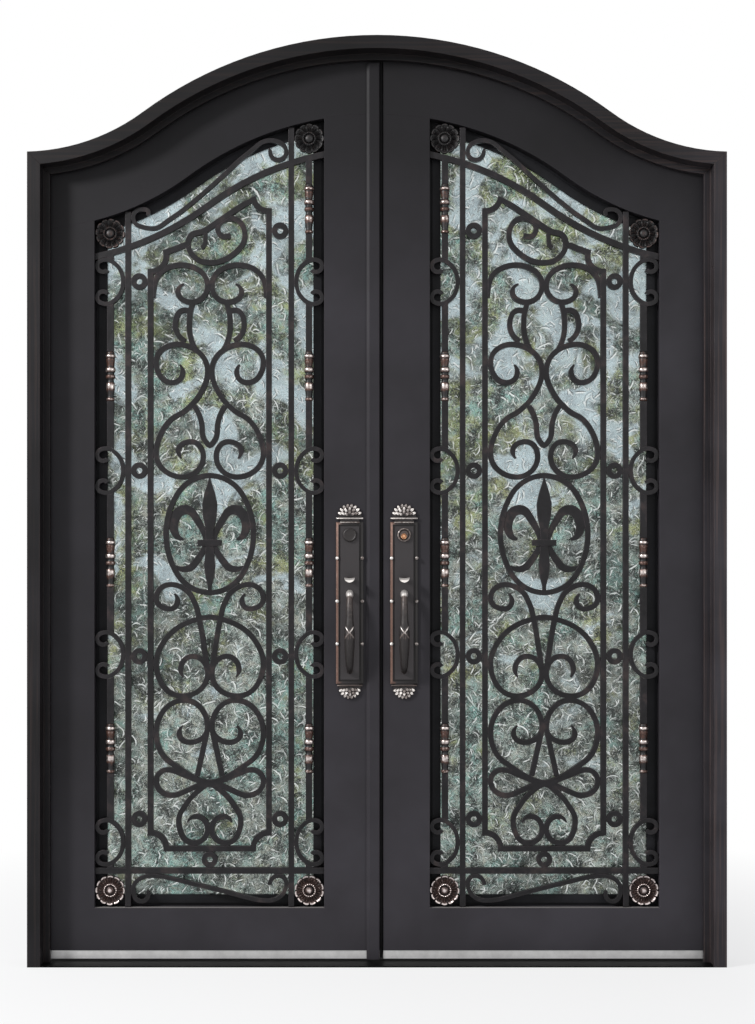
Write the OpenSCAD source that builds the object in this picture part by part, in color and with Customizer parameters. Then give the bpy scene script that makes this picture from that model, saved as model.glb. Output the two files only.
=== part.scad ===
// Double entry door with an arched steel frame, two inward-opening leaves and forged scrollwork
// over glass. Millimetres. X to the right, outer face towards -Y, Z up.
// Origin: middle of the frame's outer face, on the underside of the sill.

/* [Frame] */
// Overall width of the frame
frame_w = 1830; // [1525:1:2200]
// Overall height of the frame, at the crown of the arch
frame_h = 2438; // [2030:1:2930]
// Depth of the frame, front to back
frame_d = 120; // [100:1:160]
// Drop from the crown down to the shoulders of the arch
arch_rise = 305; // [255:1:360]
// Radius of the hollow shoulders, on the outer edge
shoulder_r = 530; // [440:1:600]
// Width of the frame's front face
face_w = 34; // [28:0.5:42]
// Depth of the reveal in front of the stop
reveal_d = 48; // [38:0.5:54]
// How far the stop stands in from the reveal
stop_w = 16.5; // [14:0.5:22]
// Thickness of the stop, front to back
stop_t = 16; // [12:0.5:20]
// Thickness of the frame beside and over the leaves
rebate_w = 22.5; // [18:0.5:26]
// Thickness of the sill plate
sill_t = 3; // [2:0.5:6]

/* [Leaves] */
// Thickness of each leaf
leaf_t = 51; // [44:0.5:56]
// Running clearance round each leaf
edge_gap = 5; // [4:0.5:7]
// Gap between the two leaves
meet_gap = 9.5; // [9.5:0.5:14]
// How far the gap between the leaves stands to the right of the middle
meet_in = 12; // [8:0.5:16]
// Width of the stile on the hinge side
hinge_stile_w = 137.5; // [110:0.5:160]
// Distance from the middle of the door to the opening in each leaf
opening_in = 140; // [120:0.5:165]
// Width of the curved top rail
top_rail_w = 160.5; // [130:0.5:190]
// Height of the bottom rail
bottom_rail_h = 113; // [95:1:150]
// Height of the aluminium sweep under each leaf
sweep_h = 22; // [18:0.5:28]
// Width of the cover strip on the left leaf's meeting edge
astragal_w = 34.5; // [30:0.5:44]
// Thickness of the cover strip
astragal_t = 10; // [8:0.5:12]

/* [Hinges] */
// Radius of the hinge barrels
barrel_r = 8; // [7:0.5:10]
// Length of each half of a hinge barrel
barrel_h = 60; // [50:1:75]
// Hinges on each leaf
hinge_count = 4; // [3:1:4]

/* [Grille] */
// Width of the scroll bars
bar_w = 14; // [12:0.5:16]
// Depth of the grille bars, front to back
bar_t = 14; // [12:0.5:16]
// Setback of the grille from the front of the leaf
grille_in = 8; // [5:0.5:14]
// Width of the upright posts
post_w = 15; // [12:0.5:18]
// Width of the curved and the straight cross bar
cross_w = 16; // [13:0.5:20]
// Width of the side bars of the cartouche
side_w = 15; // [12:0.5:18]
// Distance from the opening's edge to the middle of the balusters
baluster_in = 41; // [38:0.5:44]
// Distance from the opening's edge to the middle of the posts
post_in = 88; // [84:0.5:92]
// Distance from the opening's edge to the middle of the cartouche's sides
side_in = 147.5; // [143:0.5:152]
// Distance from the top of the opening to the middle of the curved cross bar
cross_drop = 92; // [84:0.5:104]
// Distance from the curved cross bar to the top of the cartouche
crest_drop = 50; // [44:0.5:60]
// Height of the lower cross bar over the bottom of the opening
cross_rise = 97; // [90:0.5:110]
// Height of the bottom of the cartouche over the lower cross bar
foot_rise = 58.5; // [52:0.5:70]
// Radius of the hollow corners of the cartouche
notch_r = 42; // [34:0.5:48]

/* [Glass] */
// Gap between the opening and the front of the glass frame
glass_gap = 8; // [6:0.5:10]
// Width of the glass frame
glass_frame_w = 30; // [26:0.5:34]
// Thickness of the glass
glass_t = 8; // [5:0.5:12]

/* [Handles] */
// Distance from the middle of the door to the middle of each handle
handle_in = 72; // [66:0.5:80]
// Width of the handle plate
plate_w = 73; // [60:0.5:80]
// Height of the whole handle plate
plate_h = 517; // [430:1:560]
// Height of the thumb piece over the sill
thumb_z = 1016; // [900:1:1100]
// Height of the grip
grip_h = 228; // [190:1:270]
// Distance from the plate to the middle of the grip
grip_out = 46; // [42:0.5:55]
// Width of the grip
grip_w = 28; // [22:0.5:30]

/* [Hidden] */

$fn = 96;
fit = 0.3;          // clearance where one piece seats against another
lap = 3;            // how far bars run into each other where they are welded
half_w = frame_w / 2;

// Arch: a round crown between two hollow shoulders, tangent to each other.
shoulder_x = half_w + 12;
shoulder_z = frame_h - arch_rise + shoulder_r;
arch_sum = (shoulder_x * shoulder_x + arch_rise * arch_rise) / (2 * arch_rise);
crown_r = arch_sum - shoulder_r;
crown_z = frame_h - crown_r;
bend = asin(shoulder_x / arch_sum);     // angle of the crown on each side
far = shoulder_r - 50;                  // reach of cuts outside the arch

// Depths, front to back.
stop_back = reveal_d + stop_t;
leaf_y0 = stop_back + edge_gap;
leaf_y1 = leaf_y0 + leaf_t;
grille_y0 = leaf_y0 + grille_in;
grille_y1 = grille_y0 + bar_t;

// Leaf, measured from the middle of the door.
function lock_edge(side) = meet_gap / 2 + side * meet_in;
leaf_d = rebate_w + edge_gap;
leaf_u1 = half_w - leaf_d;
sweep_z = sill_t + edge_gap;
leaf_z0 = sweep_z + sweep_h;
open_u0 = opening_in;
open_u1 = leaf_u1 - hinge_stile_w;
open_z0 = leaf_z0 + bottom_rail_h;
open_d = leaf_d + top_rail_w;
mid_u = (open_u0 + open_u1) / 2;

// Grille.
cross_d = open_d + cross_drop;
crest_d = cross_d + crest_drop;
cross_z = open_z0 + cross_rise;
foot_z = cross_z + foot_rise;
side_x = (open_u1 - open_u0) / 2 - side_in;
post_x = (open_u1 - open_u0) / 2 - post_in;
baluster_x = (open_u1 - open_u0) / 2 - baluster_in;
ring_r = (post_x - side_x - post_w / 2 - side_w / 2) / 2 - fit;
rosette_r = (post_in - post_w / 2) / 2 - fit;

// ---- Plane geometry ----

// Height of the arch at distance u from the middle, d inside its outer edge.
function arch_z(u, d) = u < (crown_r - d) * sin(bend)
  ? crown_z + sqrt(pow(crown_r - d, 2) - u * u)
  : shoulder_z - sqrt(pow(shoulder_r + d, 2) - pow(shoulder_x - u, 2));

function cross2(a, b) = a[0] * b[1] - a[1] * b[0];
function unit(v) = v / norm(v);
function along(a) = [cos(a), sin(a)];

// Direction of the circle through a, b and c where it passes b.
function through(a, b, c) = unit((b - a) * norm(c - b) / norm(b - a) + (c - b) * norm(b - a) / norm(c - b));
// Direction at the far end of a chord, for an arc that starts in direction t.
function bounce(t, c) = 2 * (t * c) * c - t;

function spot(p) = [p[0], p[1]];
// Direction of the line at point i: the third value where it is given, or a smooth run otherwise.
function heading(pts, i) = len(pts[i]) > 2 ? along(pts[i][2])
  : i == 0 ? bounce(heading(pts, 1), unit(spot(pts[1]) - spot(pts[0])))
  : i == len(pts) - 1 ? bounce(heading(pts, i - 1), unit(spot(pts[i]) - spot(pts[i - 1])))
  : through(spot(pts[i - 1]), spot(pts[i]), spot(pts[i + 1]));

// Point where the two arcs between a and b meet.
function biarc_mid(a, ta, b, tb) =
  let (v = b - a, s = ta + tb, e = 2 * (1 - ta * tb), vs = v * s)
  let (d = e < 0.000001 ? (v * v) / (2 * vs) : (sqrt(vs * vs + e * (v * v)) - vs) / e)
  (a + b + d * (ta - tb)) / 2;

function turned(v, a) = [v[0] * cos(a) - v[1] * sin(a), v[0] * sin(a) + v[1] * cos(a)];
// Largest step round an arc of radius r that keeps a flat within 0.15 of it.
function step(r) = max(6, min(12, 2 * acos(1 - min(1, 0.15 / r))));

// Stations along the arc from a, in direction dir, up to b: each [point, direction, width].
function arc_run(a, dir, b, w) =
  let (v = b - a, turn = 2 * atan2(cross2(dir, v), dir * v))
  abs(turn) < 1 ? [[a, dir, w]]
  : let (r = norm(v) / (2 * sin(turn / 2)), c = a + r * turned(dir, 90), n = ceil(abs(turn) / step(abs(r))))
    [for (i = [0 : n - 1]) [c + turned(a - c, turn * i / n), turned(dir, turn * i / n), w]];

// Stations along a whole line of points, of even width.
function run(pts, w) = [
  for (i = [0 : len(pts) - 2])
    let (a = spot(pts[i]), b = spot(pts[i + 1]), ta = heading(pts, i), tb = heading(pts, i + 1))
    let (m = biarc_mid(a, ta, b, tb))
    each concat(arc_run(a, ta, m, w), arc_run(m, bounce(ta, unit(m - a)), b, w)),
  [spot(pts[len(pts) - 1]), heading(pts, len(pts) - 1), w]
];

// Stations of a drawn-down end, from point p in direction dir, by angle at radius r.
function curl(p, dir, r, angle, w, tip) =
  let (c = p + sign(angle) * r * turned(dir, 90), n = ceil(abs(angle) / 12))
  [for (i = [1 : n]) [c + turned(p - c, angle * i / n), turned(dir, angle * i / n), w + (tip - w) * i / n]];

function reversed(list) = [for (i = [len(list) - 1 : -1 : 0]) list[i]];
function backwards(stations) = [for (s = reversed(stations)) [s[0], -s[1], s[2]]];

// A flat bar that follows the stations, t thick.
module bar_along(stations, t) {
  left = [for (s = stations) s[0] + s[2] / 2 * turned(s[1], 90)];
  right = [for (s = reversed(stations)) s[0] - s[2] / 2 * turned(s[1], 90)];
  linear_extrude(t) polygon(concat(left, right));
}

// A bar bent along a line of points, w wide and t thick.
module bent_bar(pts, w, t) {
  bar_along(run(pts, w), t);
}

// A scroll: a bent bar whose ends are drawn down. head and tail are [radius, angle].
module scroll(pts, w, t, head, tail, tip = 4) {
  n = len(pts) - 1;
  first = head ? backwards(curl(spot(pts[0]), -heading(pts, 0), head[0], head[1], w, tip)) : [];
  last = tail ? curl(spot(pts[n]), heading(pts, n), tail[0], tail[1], w, tip) : [];
  bar_along(concat(first, run(pts, w), last), t);
}

// Stands a shape that lies in the XY plane upright, from depth y0 to depth y1.
module upright(y1) {
  translate([0, y1, 0]) rotate([90, 0, 0]) children();
}

// The right leaf's pieces are drawn as they stand; the left leaf mirrors them.
module on_side(side) {
  mirror([side < 0 ? 1 : 0, 0, 0]) children();
}

// Half of a band that follows the arch, from d0 to d1 inside its outer edge, lying in XY, t thick.
module half_band(d0, d1, t) {
  half_sweep([[d0, 0], [d1, 0], [d1, t], [d0, t]]);
}

// Half of the arch swept with an outline, and a little past the middle. Each point is
// [distance inside the outer edge, height].
module half_sweep(outline) {
  crown_sweep(outline, bend + 2);
  shoulder_sweep(outline);
}

// The whole arch swept with an outline.
module full_sweep(outline) {
  crown_sweep(outline, 2 * bend);
  for (m = [0, 1]) mirror([m, 0, 0]) shoulder_sweep(outline);
}

module crown_sweep(outline, angle) {
  translate([0, crown_z, 0])
    rotate(90 - bend)
      rotate_extrude(angle = angle, $fn = 360)
        polygon([for (p = outline) [crown_r - p[0], p[1]]]);
}

module shoulder_sweep(outline) {
  translate([shoulder_x, shoulder_z, 0])
    rotate(270 - bend)
      rotate_extrude(angle = bend, $fn = 360)
        polygon([for (p = outline) [shoulder_r + p[0], p[1]]]);
}

// ---- Frame ----

iron = "#37353a";
bronze = "#4b4343";
alloy = "#b9bcbd";
pane = "#c9d6d6";
oiled = "#2b2321";

// Section of the frame: [distance inside its outer edge, distance in front of its back].
frame_outline = [
  [0, frame_d], [face_w, frame_d], [face_w, frame_d - reveal_d], [face_w + stop_w, frame_d - reveal_d],
  [face_w + stop_w, frame_d - stop_back], [rebate_w, frame_d - stop_back], [rebate_w, 0], [0, 0]
];

// Everything over the mitres between the jambs and the head, lying in XY, t thick.
module over_mitres(drop, t) {
  d = face_w + stop_w;
  z = arch_z(half_w, 0) - drop;
  fall = (arch_z(half_w, 0) - arch_z(half_w - d, d)) / d;
  long = 2 * d;
  linear_extrude(t)
    polygon([
      [-half_w - long, z + long * fall], [-half_w + long, z - long * fall],
      [half_w - long, z - long * fall], [half_w + long, z + long * fall],
      [half_w + long, frame_h + 1], [-half_w - long, frame_h + 1]
    ]);
}

pin_x = half_w - rebate_w - edge_gap / 2;
pin_y = frame_d + barrel_r + 1;
wing_t = 4;
wing_in = 24;
hinge_low = 230;
hinge_step = (frame_h - arch_rise - 2 * hinge_low - 2 * barrel_h) / (hinge_count - 1);
hinge_z = [for (i = [0 : hinge_count - 1]) hinge_low + i * hinge_step];

// One half of a weld-on hinge. dir 1 reaches to the jamb, -1 to the leaf.
module hinge_half(z, dir, bore) {
  difference() {
    union() {
      translate([pin_x, pin_y, z]) cylinder(r = barrel_r, h = barrel_h - 1);
      translate([dir > 0 ? pin_x : pin_x - wing_in, frame_d, z])
        cube([dir > 0 ? half_w - pin_x - 4 : wing_in, wing_t, barrel_h - 1]);
      translate([pin_x - 3 + (dir > 0 ? 3 : -3), frame_d, z])
        cube([6, pin_y - frame_d, barrel_h - 1]);
    }
    if (bore) translate([pin_x, pin_y, z - 1]) cylinder(r = 4 + fit, h = barrel_h + 1);
  }
  if (!bore) translate([pin_x, pin_y, z]) cylinder(r = 4, h = 2 * barrel_h - 4);
}

anchor_r = 5;
anchor_z = [300, frame_h - arch_rise - 300];

module jamb(side) {
  color(bronze) on_side(side) {
    difference() {
      linear_extrude(arch_z(half_w, 0) + 1)
        polygon([for (p = frame_outline) [half_w - p[0], frame_d - p[1]]]);
      upright(frame_d + 1) over_mitres(fit, frame_d + 2);
      for (z = anchor_z)
        translate([half_w - face_w - 1, reveal_d / 2, z])
          rotate([0, 90, 0]) cylinder(r = anchor_r, h = face_w + 2);
    }
    for (z = hinge_z) hinge_half(z, 1, false);
  }
}

// Curved head, which carries the jambs' section round the arch between two mitres.
module head() {
  color(bronze)
    intersection() {
      upright(frame_d) full_sweep(frame_outline);
      upright(frame_d + 1) over_mitres(0, frame_d + 2);
    }
}

module sill() {
  a = half_w - face_w - fit;
  b = a - stop_w;
  c = half_w - rebate_w - fit;
  r = stop_back + fit;
  f = reveal_d - fit;
  color(alloy)
    linear_extrude(sill_t)
      polygon([
        [-a, 0], [a, 0], [a, f], [b, f], [b, r], [c, r], [c, frame_d],
        [-c, frame_d], [-c, r], [-b, r], [-b, f], [-a, f]
      ]);
}

// ---- Leaves ----

module hinge_stile(side) {
  color(iron) on_side(side) {
    difference() {
      translate([open_u1, leaf_y0, leaf_z0]) cube([hinge_stile_w, leaf_t, frame_h - leaf_z0]);
      upright(leaf_y1 + 1) half_band(-far, open_d, leaf_t + 2);
    }
    for (z = hinge_z) hinge_half(z + barrel_h, -1, true);
  }
}

module lock_stile(side) {
  color(iron) on_side(side)
    difference() {
      translate([lock_edge(side), leaf_y0, leaf_z0])
        cube([open_u0 - lock_edge(side), leaf_t, frame_h - leaf_z0]);
      upright(leaf_y1 + 1) half_band(-far, open_d, leaf_t + 2);
    }
}

module top_rail(side) {
  color(iron) on_side(side)
    intersection() {
      upright(leaf_y1) half_band(leaf_d, open_d, leaf_t);
      translate([lock_edge(side), leaf_y0 - 1, leaf_z0])
        cube([leaf_u1 - lock_edge(side), leaf_t + 2, frame_h]);
    }
}

module bottom_rail(side) {
  color(iron) on_side(side)
    translate([open_u0, leaf_y0, leaf_z0]) cube([open_u1 - open_u0, leaf_t, bottom_rail_h]);
}

module sweep(side) {
  color(alloy) on_side(side)
    translate([lock_edge(side), leaf_y0 + 2, sweep_z])
      cube([leaf_u1 - lock_edge(side), leaf_t - 4, sweep_h]);
}

// Cover strip along the meeting edge of the left leaf. It lies on that leaf alone.
module astragal() {
  x1 = -lock_edge(-1) - fit;
  x0 = x1 - astragal_w;
  y0 = leaf_y0 - astragal_t;
  top = arch_z(-x0, face_w + stop_w) - edge_gap;
  color(iron)
    translate([0, 0, sweep_z]) linear_extrude(top - sweep_z)
      polygon([[x0, leaf_y0], [x0, y0 + 5], [x0 + 7, y0], [x1 - 2, y0], [x1, y0 + 2], [x1, leaf_y0]]);
}

// ---- Glass ----

glass_y1 = leaf_y1 - 3;
glass_step = 12;
glass_front = 18;

// Frame round the glass: a flange that seats in the opening and a narrower front.
module glass_frame(side) {
  color("#5a5c5f") on_side(side)
    difference() {
      union() {
        glass_blank(fit, glass_y1, glass_step);
        glass_blank(glass_gap, glass_y1 - glass_step, glass_front - glass_step);
      }
      glass_blank(glass_frame_w, glass_y1 + 1, glass_front + 2);
    }
}

// Solid with the outline of the opening, in from its edge by inset.
module glass_blank(inset, y1, t) {
  difference() {
    translate([open_u0 + inset, y1 - t, open_z0 + inset])
      cube([open_u1 - open_u0 - 2 * inset, t, frame_h - open_z0]);
    upright(y1 + 1) half_band(-far, open_d + inset, t + 2);
  }
}

module glass(side) {
  color(pane, 0.6) on_side(side) glass_blank(glass_frame_w + fit, glass_y1 - 4, glass_t);
}

// ---- Grille bars ----

// Moves to the middle of a leaf's opening, in the plane of the grille.
module in_grille(side) {
  on_side(side) translate([mid_u, 0, 0]) upright(grille_y1) children();
}

module cross_bar_blank(grow) {
  translate([-mid_u, 0, 0])
    intersection() {
      half_band(cross_d - cross_w / 2 - grow, cross_d + cross_w / 2 + grow, bar_t);
      translate([open_u0 + fit, 0, -1]) cube([open_u1 - open_u0 - 2 * fit, frame_h, bar_t + 2]);
    }
  translate([open_u0 + fit - mid_u, cross_z - cross_w / 2 - grow, 0])
    cube([open_u1 - open_u0 - 2 * fit, cross_w + 2 * grow, bar_t]);
}

// Height of the top of the opening, x from its middle.
function open_top(x) = arch_z(mid_u + x, open_d);

module posts_blank(grow) {
  for (s = [-1, 1])
    translate([s * post_x - post_w / 2 - grow, open_z0 + fit, 0])
      cube([post_w + 2 * grow, open_top(s * post_x + post_w / 2) - open_z0 - 2 * fit, bar_t]);
}

module bars(side) {
  color(iron) in_grille(side) {
    cross_bar_blank(0);
    posts_blank(0);
    for (s = [-1, 1]) balusters(s);
  }
}

// Middles of the edge scrolls: the lowest stands over the lower cross bar, and the highest hangs
// under the curved one on the hinge side.
scroll_h = 129;
scroll_low = cross_z + cross_w / 2 + 3 + scroll_h / 2;
scroll_high = arch_z(mid_u + baluster_x, cross_d) - cross_w / 2 - 4 - scroll_h / 2;
scroll_z = [for (f = [0, 0.335, 0.663, 1]) scroll_low + f * (scroll_high - scroll_low)];
// Middles of the collars: halfway between the scrolls, and over the highest one on the lock side.
collar_h = 132;
lock_cross_z = arch_z(mid_u - baluster_x, cross_d);
collar_z = [
  for (i = [0 : 3])
    i < 3 ? (scroll_z[i] + scroll_z[i + 1]) / 2 : scroll_z[i] + 0.59 * (lock_cross_z - scroll_z[i])
];
baluster_w = 17;
function collars_on(s) = s < 0 ? [0, 1, 2, 3] : [0, 1, 2];

// Square bars that run from one edge scroll to the next, broken by the cast collars.
module balusters(s) {
  x = s * baluster_x;
  seat = scroll_h / 2 - 10.5;
  top = arch_z(mid_u + x - baluster_w / 2, cross_d);
  stops = concat(
    [cross_z],
    [for (i = [0 : 3])
      let (c = scroll_z[i], k = collar_z[i], last = s > 0 && i == 3)
      each last ? [c - seat, c + seat] : [c - seat, c + seat, k - collar_h / 2, k + collar_h / 2]],
    [top]
  );
  difference() {
    for (i = [0 : 2 : len(stops) - 1])
      translate([x - baluster_w / 2, stops[i], 0])
        cube([baluster_w, stops[i + 1] - stops[i], bar_t]);
    for (z = scroll_z) edge_scroll(s, z, fit);
  }
}

// ---- Edge scrolls ----

edge_w = 11;

// A C-scroll between the opening's edge and the post. The line is set out for a space 80.5 wide.
module edge_scroll(s, z, grow = 0) {
  wide = (post_in - post_w / 2 - edge_w - 2 * fit) / 69.5;
  pts = [
    [33, 32], [22, 26, 180], [5.5, 42, 90], [29, 59, 0], [60, 42], [75, 0, 270],
    [60, -42], [29, -59, 180], [5.5, -42, 90], [22, -26, 0], [33, -32]
  ];
  line = [
    for (p = pts)
      let (x = edge_w / 2 + fit + (p[0] - 5.5) * wide)
      len(p) > 2 ? [x, p[1], p[2]] : [x, p[1]]
  ];
  mirror([s > 0 ? 1 : 0, 0, 0])
    translate([-(open_u1 - open_u0) / 2, z, 0])
      bent_bar(line, edge_w + 2 * grow, bar_t);
}

// S-scroll between the arch and the curved cross bar, and the one under the lower cross bar.
// Points are [part of the way from post to post, depth under the opening's top, heading].
module arch_scroll(side) {
  x0 = -post_x + post_w / 2 + fit + edge_w / 2;
  x1 = -x0;
  pts = [
    [0.105, 46, 270], [0.053, 73, 180], [0, 60, 90], [0.1, 18, 0], [0.27, 29], [0.39, 45],
    [0.59, 60], [0.74, 67], [0.885, 67], [1, 22, 90], [0.945, 11, 180], [0.9, 26, 270]
  ];
  line = [
    for (p = pts)
      let (x = x0 + p[0] * (x1 - x0), z = arch_z(mid_u + x, open_d + p[1] * cross_drop / 92))
      len(p) > 2 ? [x, z, p[2]] : [x, z]
  ];
  color(iron) in_grille(side) scroll(line, edge_w, bar_t, [10, -50], [9, 60], 6);
}

module edge_scrolls(side) {
  color(iron) in_grille(side) {
    difference() {
      for (s = [-1, 1]) for (z = scroll_z) edge_scroll(s, z);
      cross_bar_blank(fit);
    }
    foot_scroll();
  }
}

// The S-scroll under the lower cross bar.
module foot_scroll() {
  x0 = -post_x + post_w / 2 + fit + edge_w / 2;
  x1 = -x0;
  hang = cross_z - cross_w / 2 - fit - edge_w / 2;
  pts = [
    [0.108, -24], [0.05, 0, 180], [0, -22, 270], [0.12, -66, 0], [0.39, -43], [0.64, -18],
    [0.88, 0, 0], [1, -37, 270], [0.945, -68, 180], [0.9, -48, 90]
  ];
  line = [
    for (p = pts)
      let (x = x0 + p[0] * (x1 - x0), z = hang + p[1] * cross_rise / 97)
      len(p) > 2 ? [x, z, p[2]] : [x, z]
  ];
  scroll(line, edge_w, bar_t, undef, [9, -60], 6);
}

// ---- Scrollwork ----

// The scrolls inside the cartouche are set out on a plan that is drawn for these sizes, and it
// stretches with the cartouche: x is the distance from its middle, z the height.
plan_x = 141.5;
plan_foot = 313.3;
plan_top = 1950.5;
reach = side_x - side_w / 2 - bar_w / 2 - fit;
core = bar_w / 2 - lap / 2;
crest_z = arch_z(mid_u, crest_d);
foot_rest = foot_z + side_w / 2 + bar_w / 2 + fit;

function fit_x(x) = x < core ? x : core + (x - core) * (reach - core) / (plan_x - core);
function fit_z(z) = foot_rest + (z - plan_foot) * (crest_z - foot_rest) / (plan_top - plan_foot);
function fit_points(pts) = [
  for (p = pts) len(p) > 2 ? [fit_x(p[0]), fit_z(p[1]), p[2]] : [fit_x(p[0]), fit_z(p[1])]
];
// The same for shapes that aren't mirrored, which run from -plan_x to plan_x.
function wide_points(pts) = [
  for (p = pts)
    let (x = p[0] * reach / plan_x)
    len(p) > 2 ? [x, fit_z(p[1]), p[2]] : [x, fit_z(p[1])]
];

// A pair of scrolls, mirrored about the middle of the cartouche.
module pair() {
  children();
  mirror([1, 0, 0]) children();
}

// Height and slope of the cartouche's curved top, x from its middle.
function crest_at(x) = arch_z(mid_u + x, crest_d);
function crest_slope(x) = atan((crest_at(x + 1) - crest_at(x - 1)) / 2);

function spot_from(c, a, x, y) = c + x * along(a) + y * along(a + 90);
function arc_points(c, r, a0, a1) =
  let (n = ceil(abs(a1 - a0) / step(r)))
  [for (i = [0 : n]) c + r * along(a0 + (a1 - a0) * i / n)];

// Corners of the cartouche, clockwise from the top on the lock side. Each is hollowed by a quarter
// ring: [its centre, direction of the bar that comes in, direction of the bar that goes out].
function corner_at(s) = [s * side_x, crest_at(s * (side_x - notch_r / 2))];
function corner_rise(s) = atan((crest_at(s * (side_x - notch_r)) - corner_at(s)[1]) / notch_r);
corners = [
  [corner_at(-1), -90, corner_rise(-1)],
  [corner_at(1), 180 - corner_rise(1), 270],
  [[side_x, foot_z], 90, 180],
  [[-side_x, foot_z], 0, 90]
];
function outer_corner(k, h) =
  let (c = k[0], r = notch_r - h)
  concat([spot_from(c, k[1], r, -h)], arc_points(c, r, k[1], k[2]), [spot_from(c, k[2], r, h)]);
function inner_corner(k, h) =
  let (r = notch_r + h, e = asin(h / r))
  arc_points(k[0], r, k[1] + e, k[2] - e);

// The top of the cartouche follows the arch and steps over the end of the kidney scroll.
// Each point of the step is [x, height over the line of the arch, heading].
crest_step = [[8, 0], [37, 9, -8], [57, -2, 275], [80, -4]];
crest_line = concat(
  [let (x = -side_x + notch_r) [x, crest_at(x), crest_slope(x)]],
  [
    for (p = crest_step)
      let (x = p[0], z = crest_at(x) + p[1])
      len(p) > 2 ? [x, z, p[2]] : [x, z, crest_slope(x)]
  ],
  [let (x = side_x - notch_r) [x, crest_at(x), crest_slope(x)]]
);

// The cartouche as one closed bar, w wide and t thick.
module cartouche_bar(w, t) {
  h = w / 2;
  crest = run(crest_line, w);
  inside = [for (i = [1 : len(crest) - 2]) crest[i][0] - h * turned(crest[i][1], 90)];
  outside = [for (i = [1 : len(crest) - 2]) crest[i][0] + h * turned(crest[i][1], 90)];
  linear_extrude(t)
    difference() {
      polygon(concat(
        outer_corner(corners[0], h), outside, outer_corner(corners[1], h),
        outer_corner(corners[2], h), outer_corner(corners[3], h)
      ));
      polygon(concat(
        inner_corner(corners[0], h), inside, inner_corner(corners[1], h),
        inner_corner(corners[2], h), inner_corner(corners[3], h)
      ));
    }
}

module cartouche(side) {
  color(iron) in_grille(side) cartouche_bar(side_w, bar_t);
}

kidney_line = [
  [57, 1906, 270], [36, 1868], [-6, 1857, 180], [-52, 1872], [-93, 1930, 90], [-57, 1975, 0],
  [-21, 1948, 270], [-32, 1928], [-55, 1929, 170]
];
hook_line = [[22, 1896], [12, 1914, 90], [11, 1936]];
shoulder_line = [
  [150, 1764, 93], [129, 1831], [74, 1851, 180], [5.5, 1795, 270], [48, 1752, 0], [84, 1780, 90]
];
ear_line = [[47, 1724], [66, 1731, 0], [91, 1692, 270], [64, 1648]];
vase_line = [[44, 1752], [52, 1722], [54, 1690, 270], [48, 1650], [36, 1624]];

module crest_scrolls(side) {
  color(iron) in_grille(side)
    difference() {
      union() {
        bent_bar(wide_points(kidney_line), bar_w, bar_t);
        bent_bar(wide_points(hook_line), bar_w - 3, bar_t);
        pair() {
          scroll(fit_points(shoulder_line), bar_w, bar_t, undef, [20, 80]);
          bent_bar(fit_points(ear_line), bar_w, bar_t);
          bent_bar(fit_points(vase_line), bar_w, bar_t);
        }
      }
      translate([0, 0, -1]) cartouche_bar(side_w + 2 * fit, bar_t + 2);
      pair() bent_bar(fit_points(heart_top), bar_w + 2 * fit, bar_t);
    }
}

heart_top = [[99, 1538, 0], [141.5, 1592, 90], [86, 1640, 180], [5.5, 1568, 270]];
heart_line = [
  [71, 1566, 270], [99, 1538, 0], [141.5, 1592, 90], [86, 1640, 180], [5.5, 1568, 270], [29, 1502],
  [64, 1464], [104, 1438], [133, 1392], [141.5, 1350, 270], [72, 1287, 180], [17, 1342, 90],
  [49, 1381, 0], [83, 1356, 270]
];
tongue_line = [[41, 1476], [27, 1450], [20, 1415, 270], [12, 1383], [-2, 1371, 180]];

module heart_scrolls(side) {
  color(iron) in_grille(side)
    difference() {
      pair() {
        scroll(fit_points(heart_line), bar_w, bar_t, [28, -45], [28, -45]);
        bent_bar(fit_points(tongue_line), bar_w, bar_t);
      }
      pair() bent_bar(fit_points(oval_line), bar_w + 2 * fit, bar_t);
    }
}

oval_line = [[-2, 1291, 0], [115.5, 1135, 270], [-2, 979, 180]];
petal_line = [[10, 1100], [28, 1164], [64, 1200, 0], [96, 1158, 270], [70, 1122, 180]];
tail_line = [[8, 1126], [30, 1070], [58, 1043], [90, 1048, 30]];
blade_edge = [
  [0, 1290], [5, 1272], [14, 1244], [20, 1214], [18, 1182], [11, 1150], [9, 1112], [12, 1080],
  [15, 1052], [11, 1020], [5, 996], [5, 978]
];

// A leaf: a bent bar that swells to its middle and narrows to both ends.
module leaf(pts, tip, wide, t) {
  s = run(pts, tip);
  n = len(s) - 1;
  bar_along([for (i = [0 : n]) [s[i][0], s[i][1], tip + (wide - tip) * sin(180 * i / n)]], t);
}

// The oval, with a plain lily cut from plate that reaches its sides.
module oval(side) {
  edge = [for (p = blade_edge) [p[0], fit_z(p[1])]];
  color(iron) in_grille(side) {
    pair() {
      bent_bar(fit_points(oval_line), bar_w, bar_t);
      leaf(fit_points(petal_line), 7, 27, bar_t - 2);
      leaf(fit_points(tail_line), 9, 19, bar_t - 2);
    }
    linear_extrude(bar_t) polygon(concat(edge, [for (p = reversed(edge)) [-p[0], p[1]]]));
    translate([-32, fit_z(1104), 0]) cube([64, fit_z(1120) - fit_z(1104), bar_t + 2]);
  }
}

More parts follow.
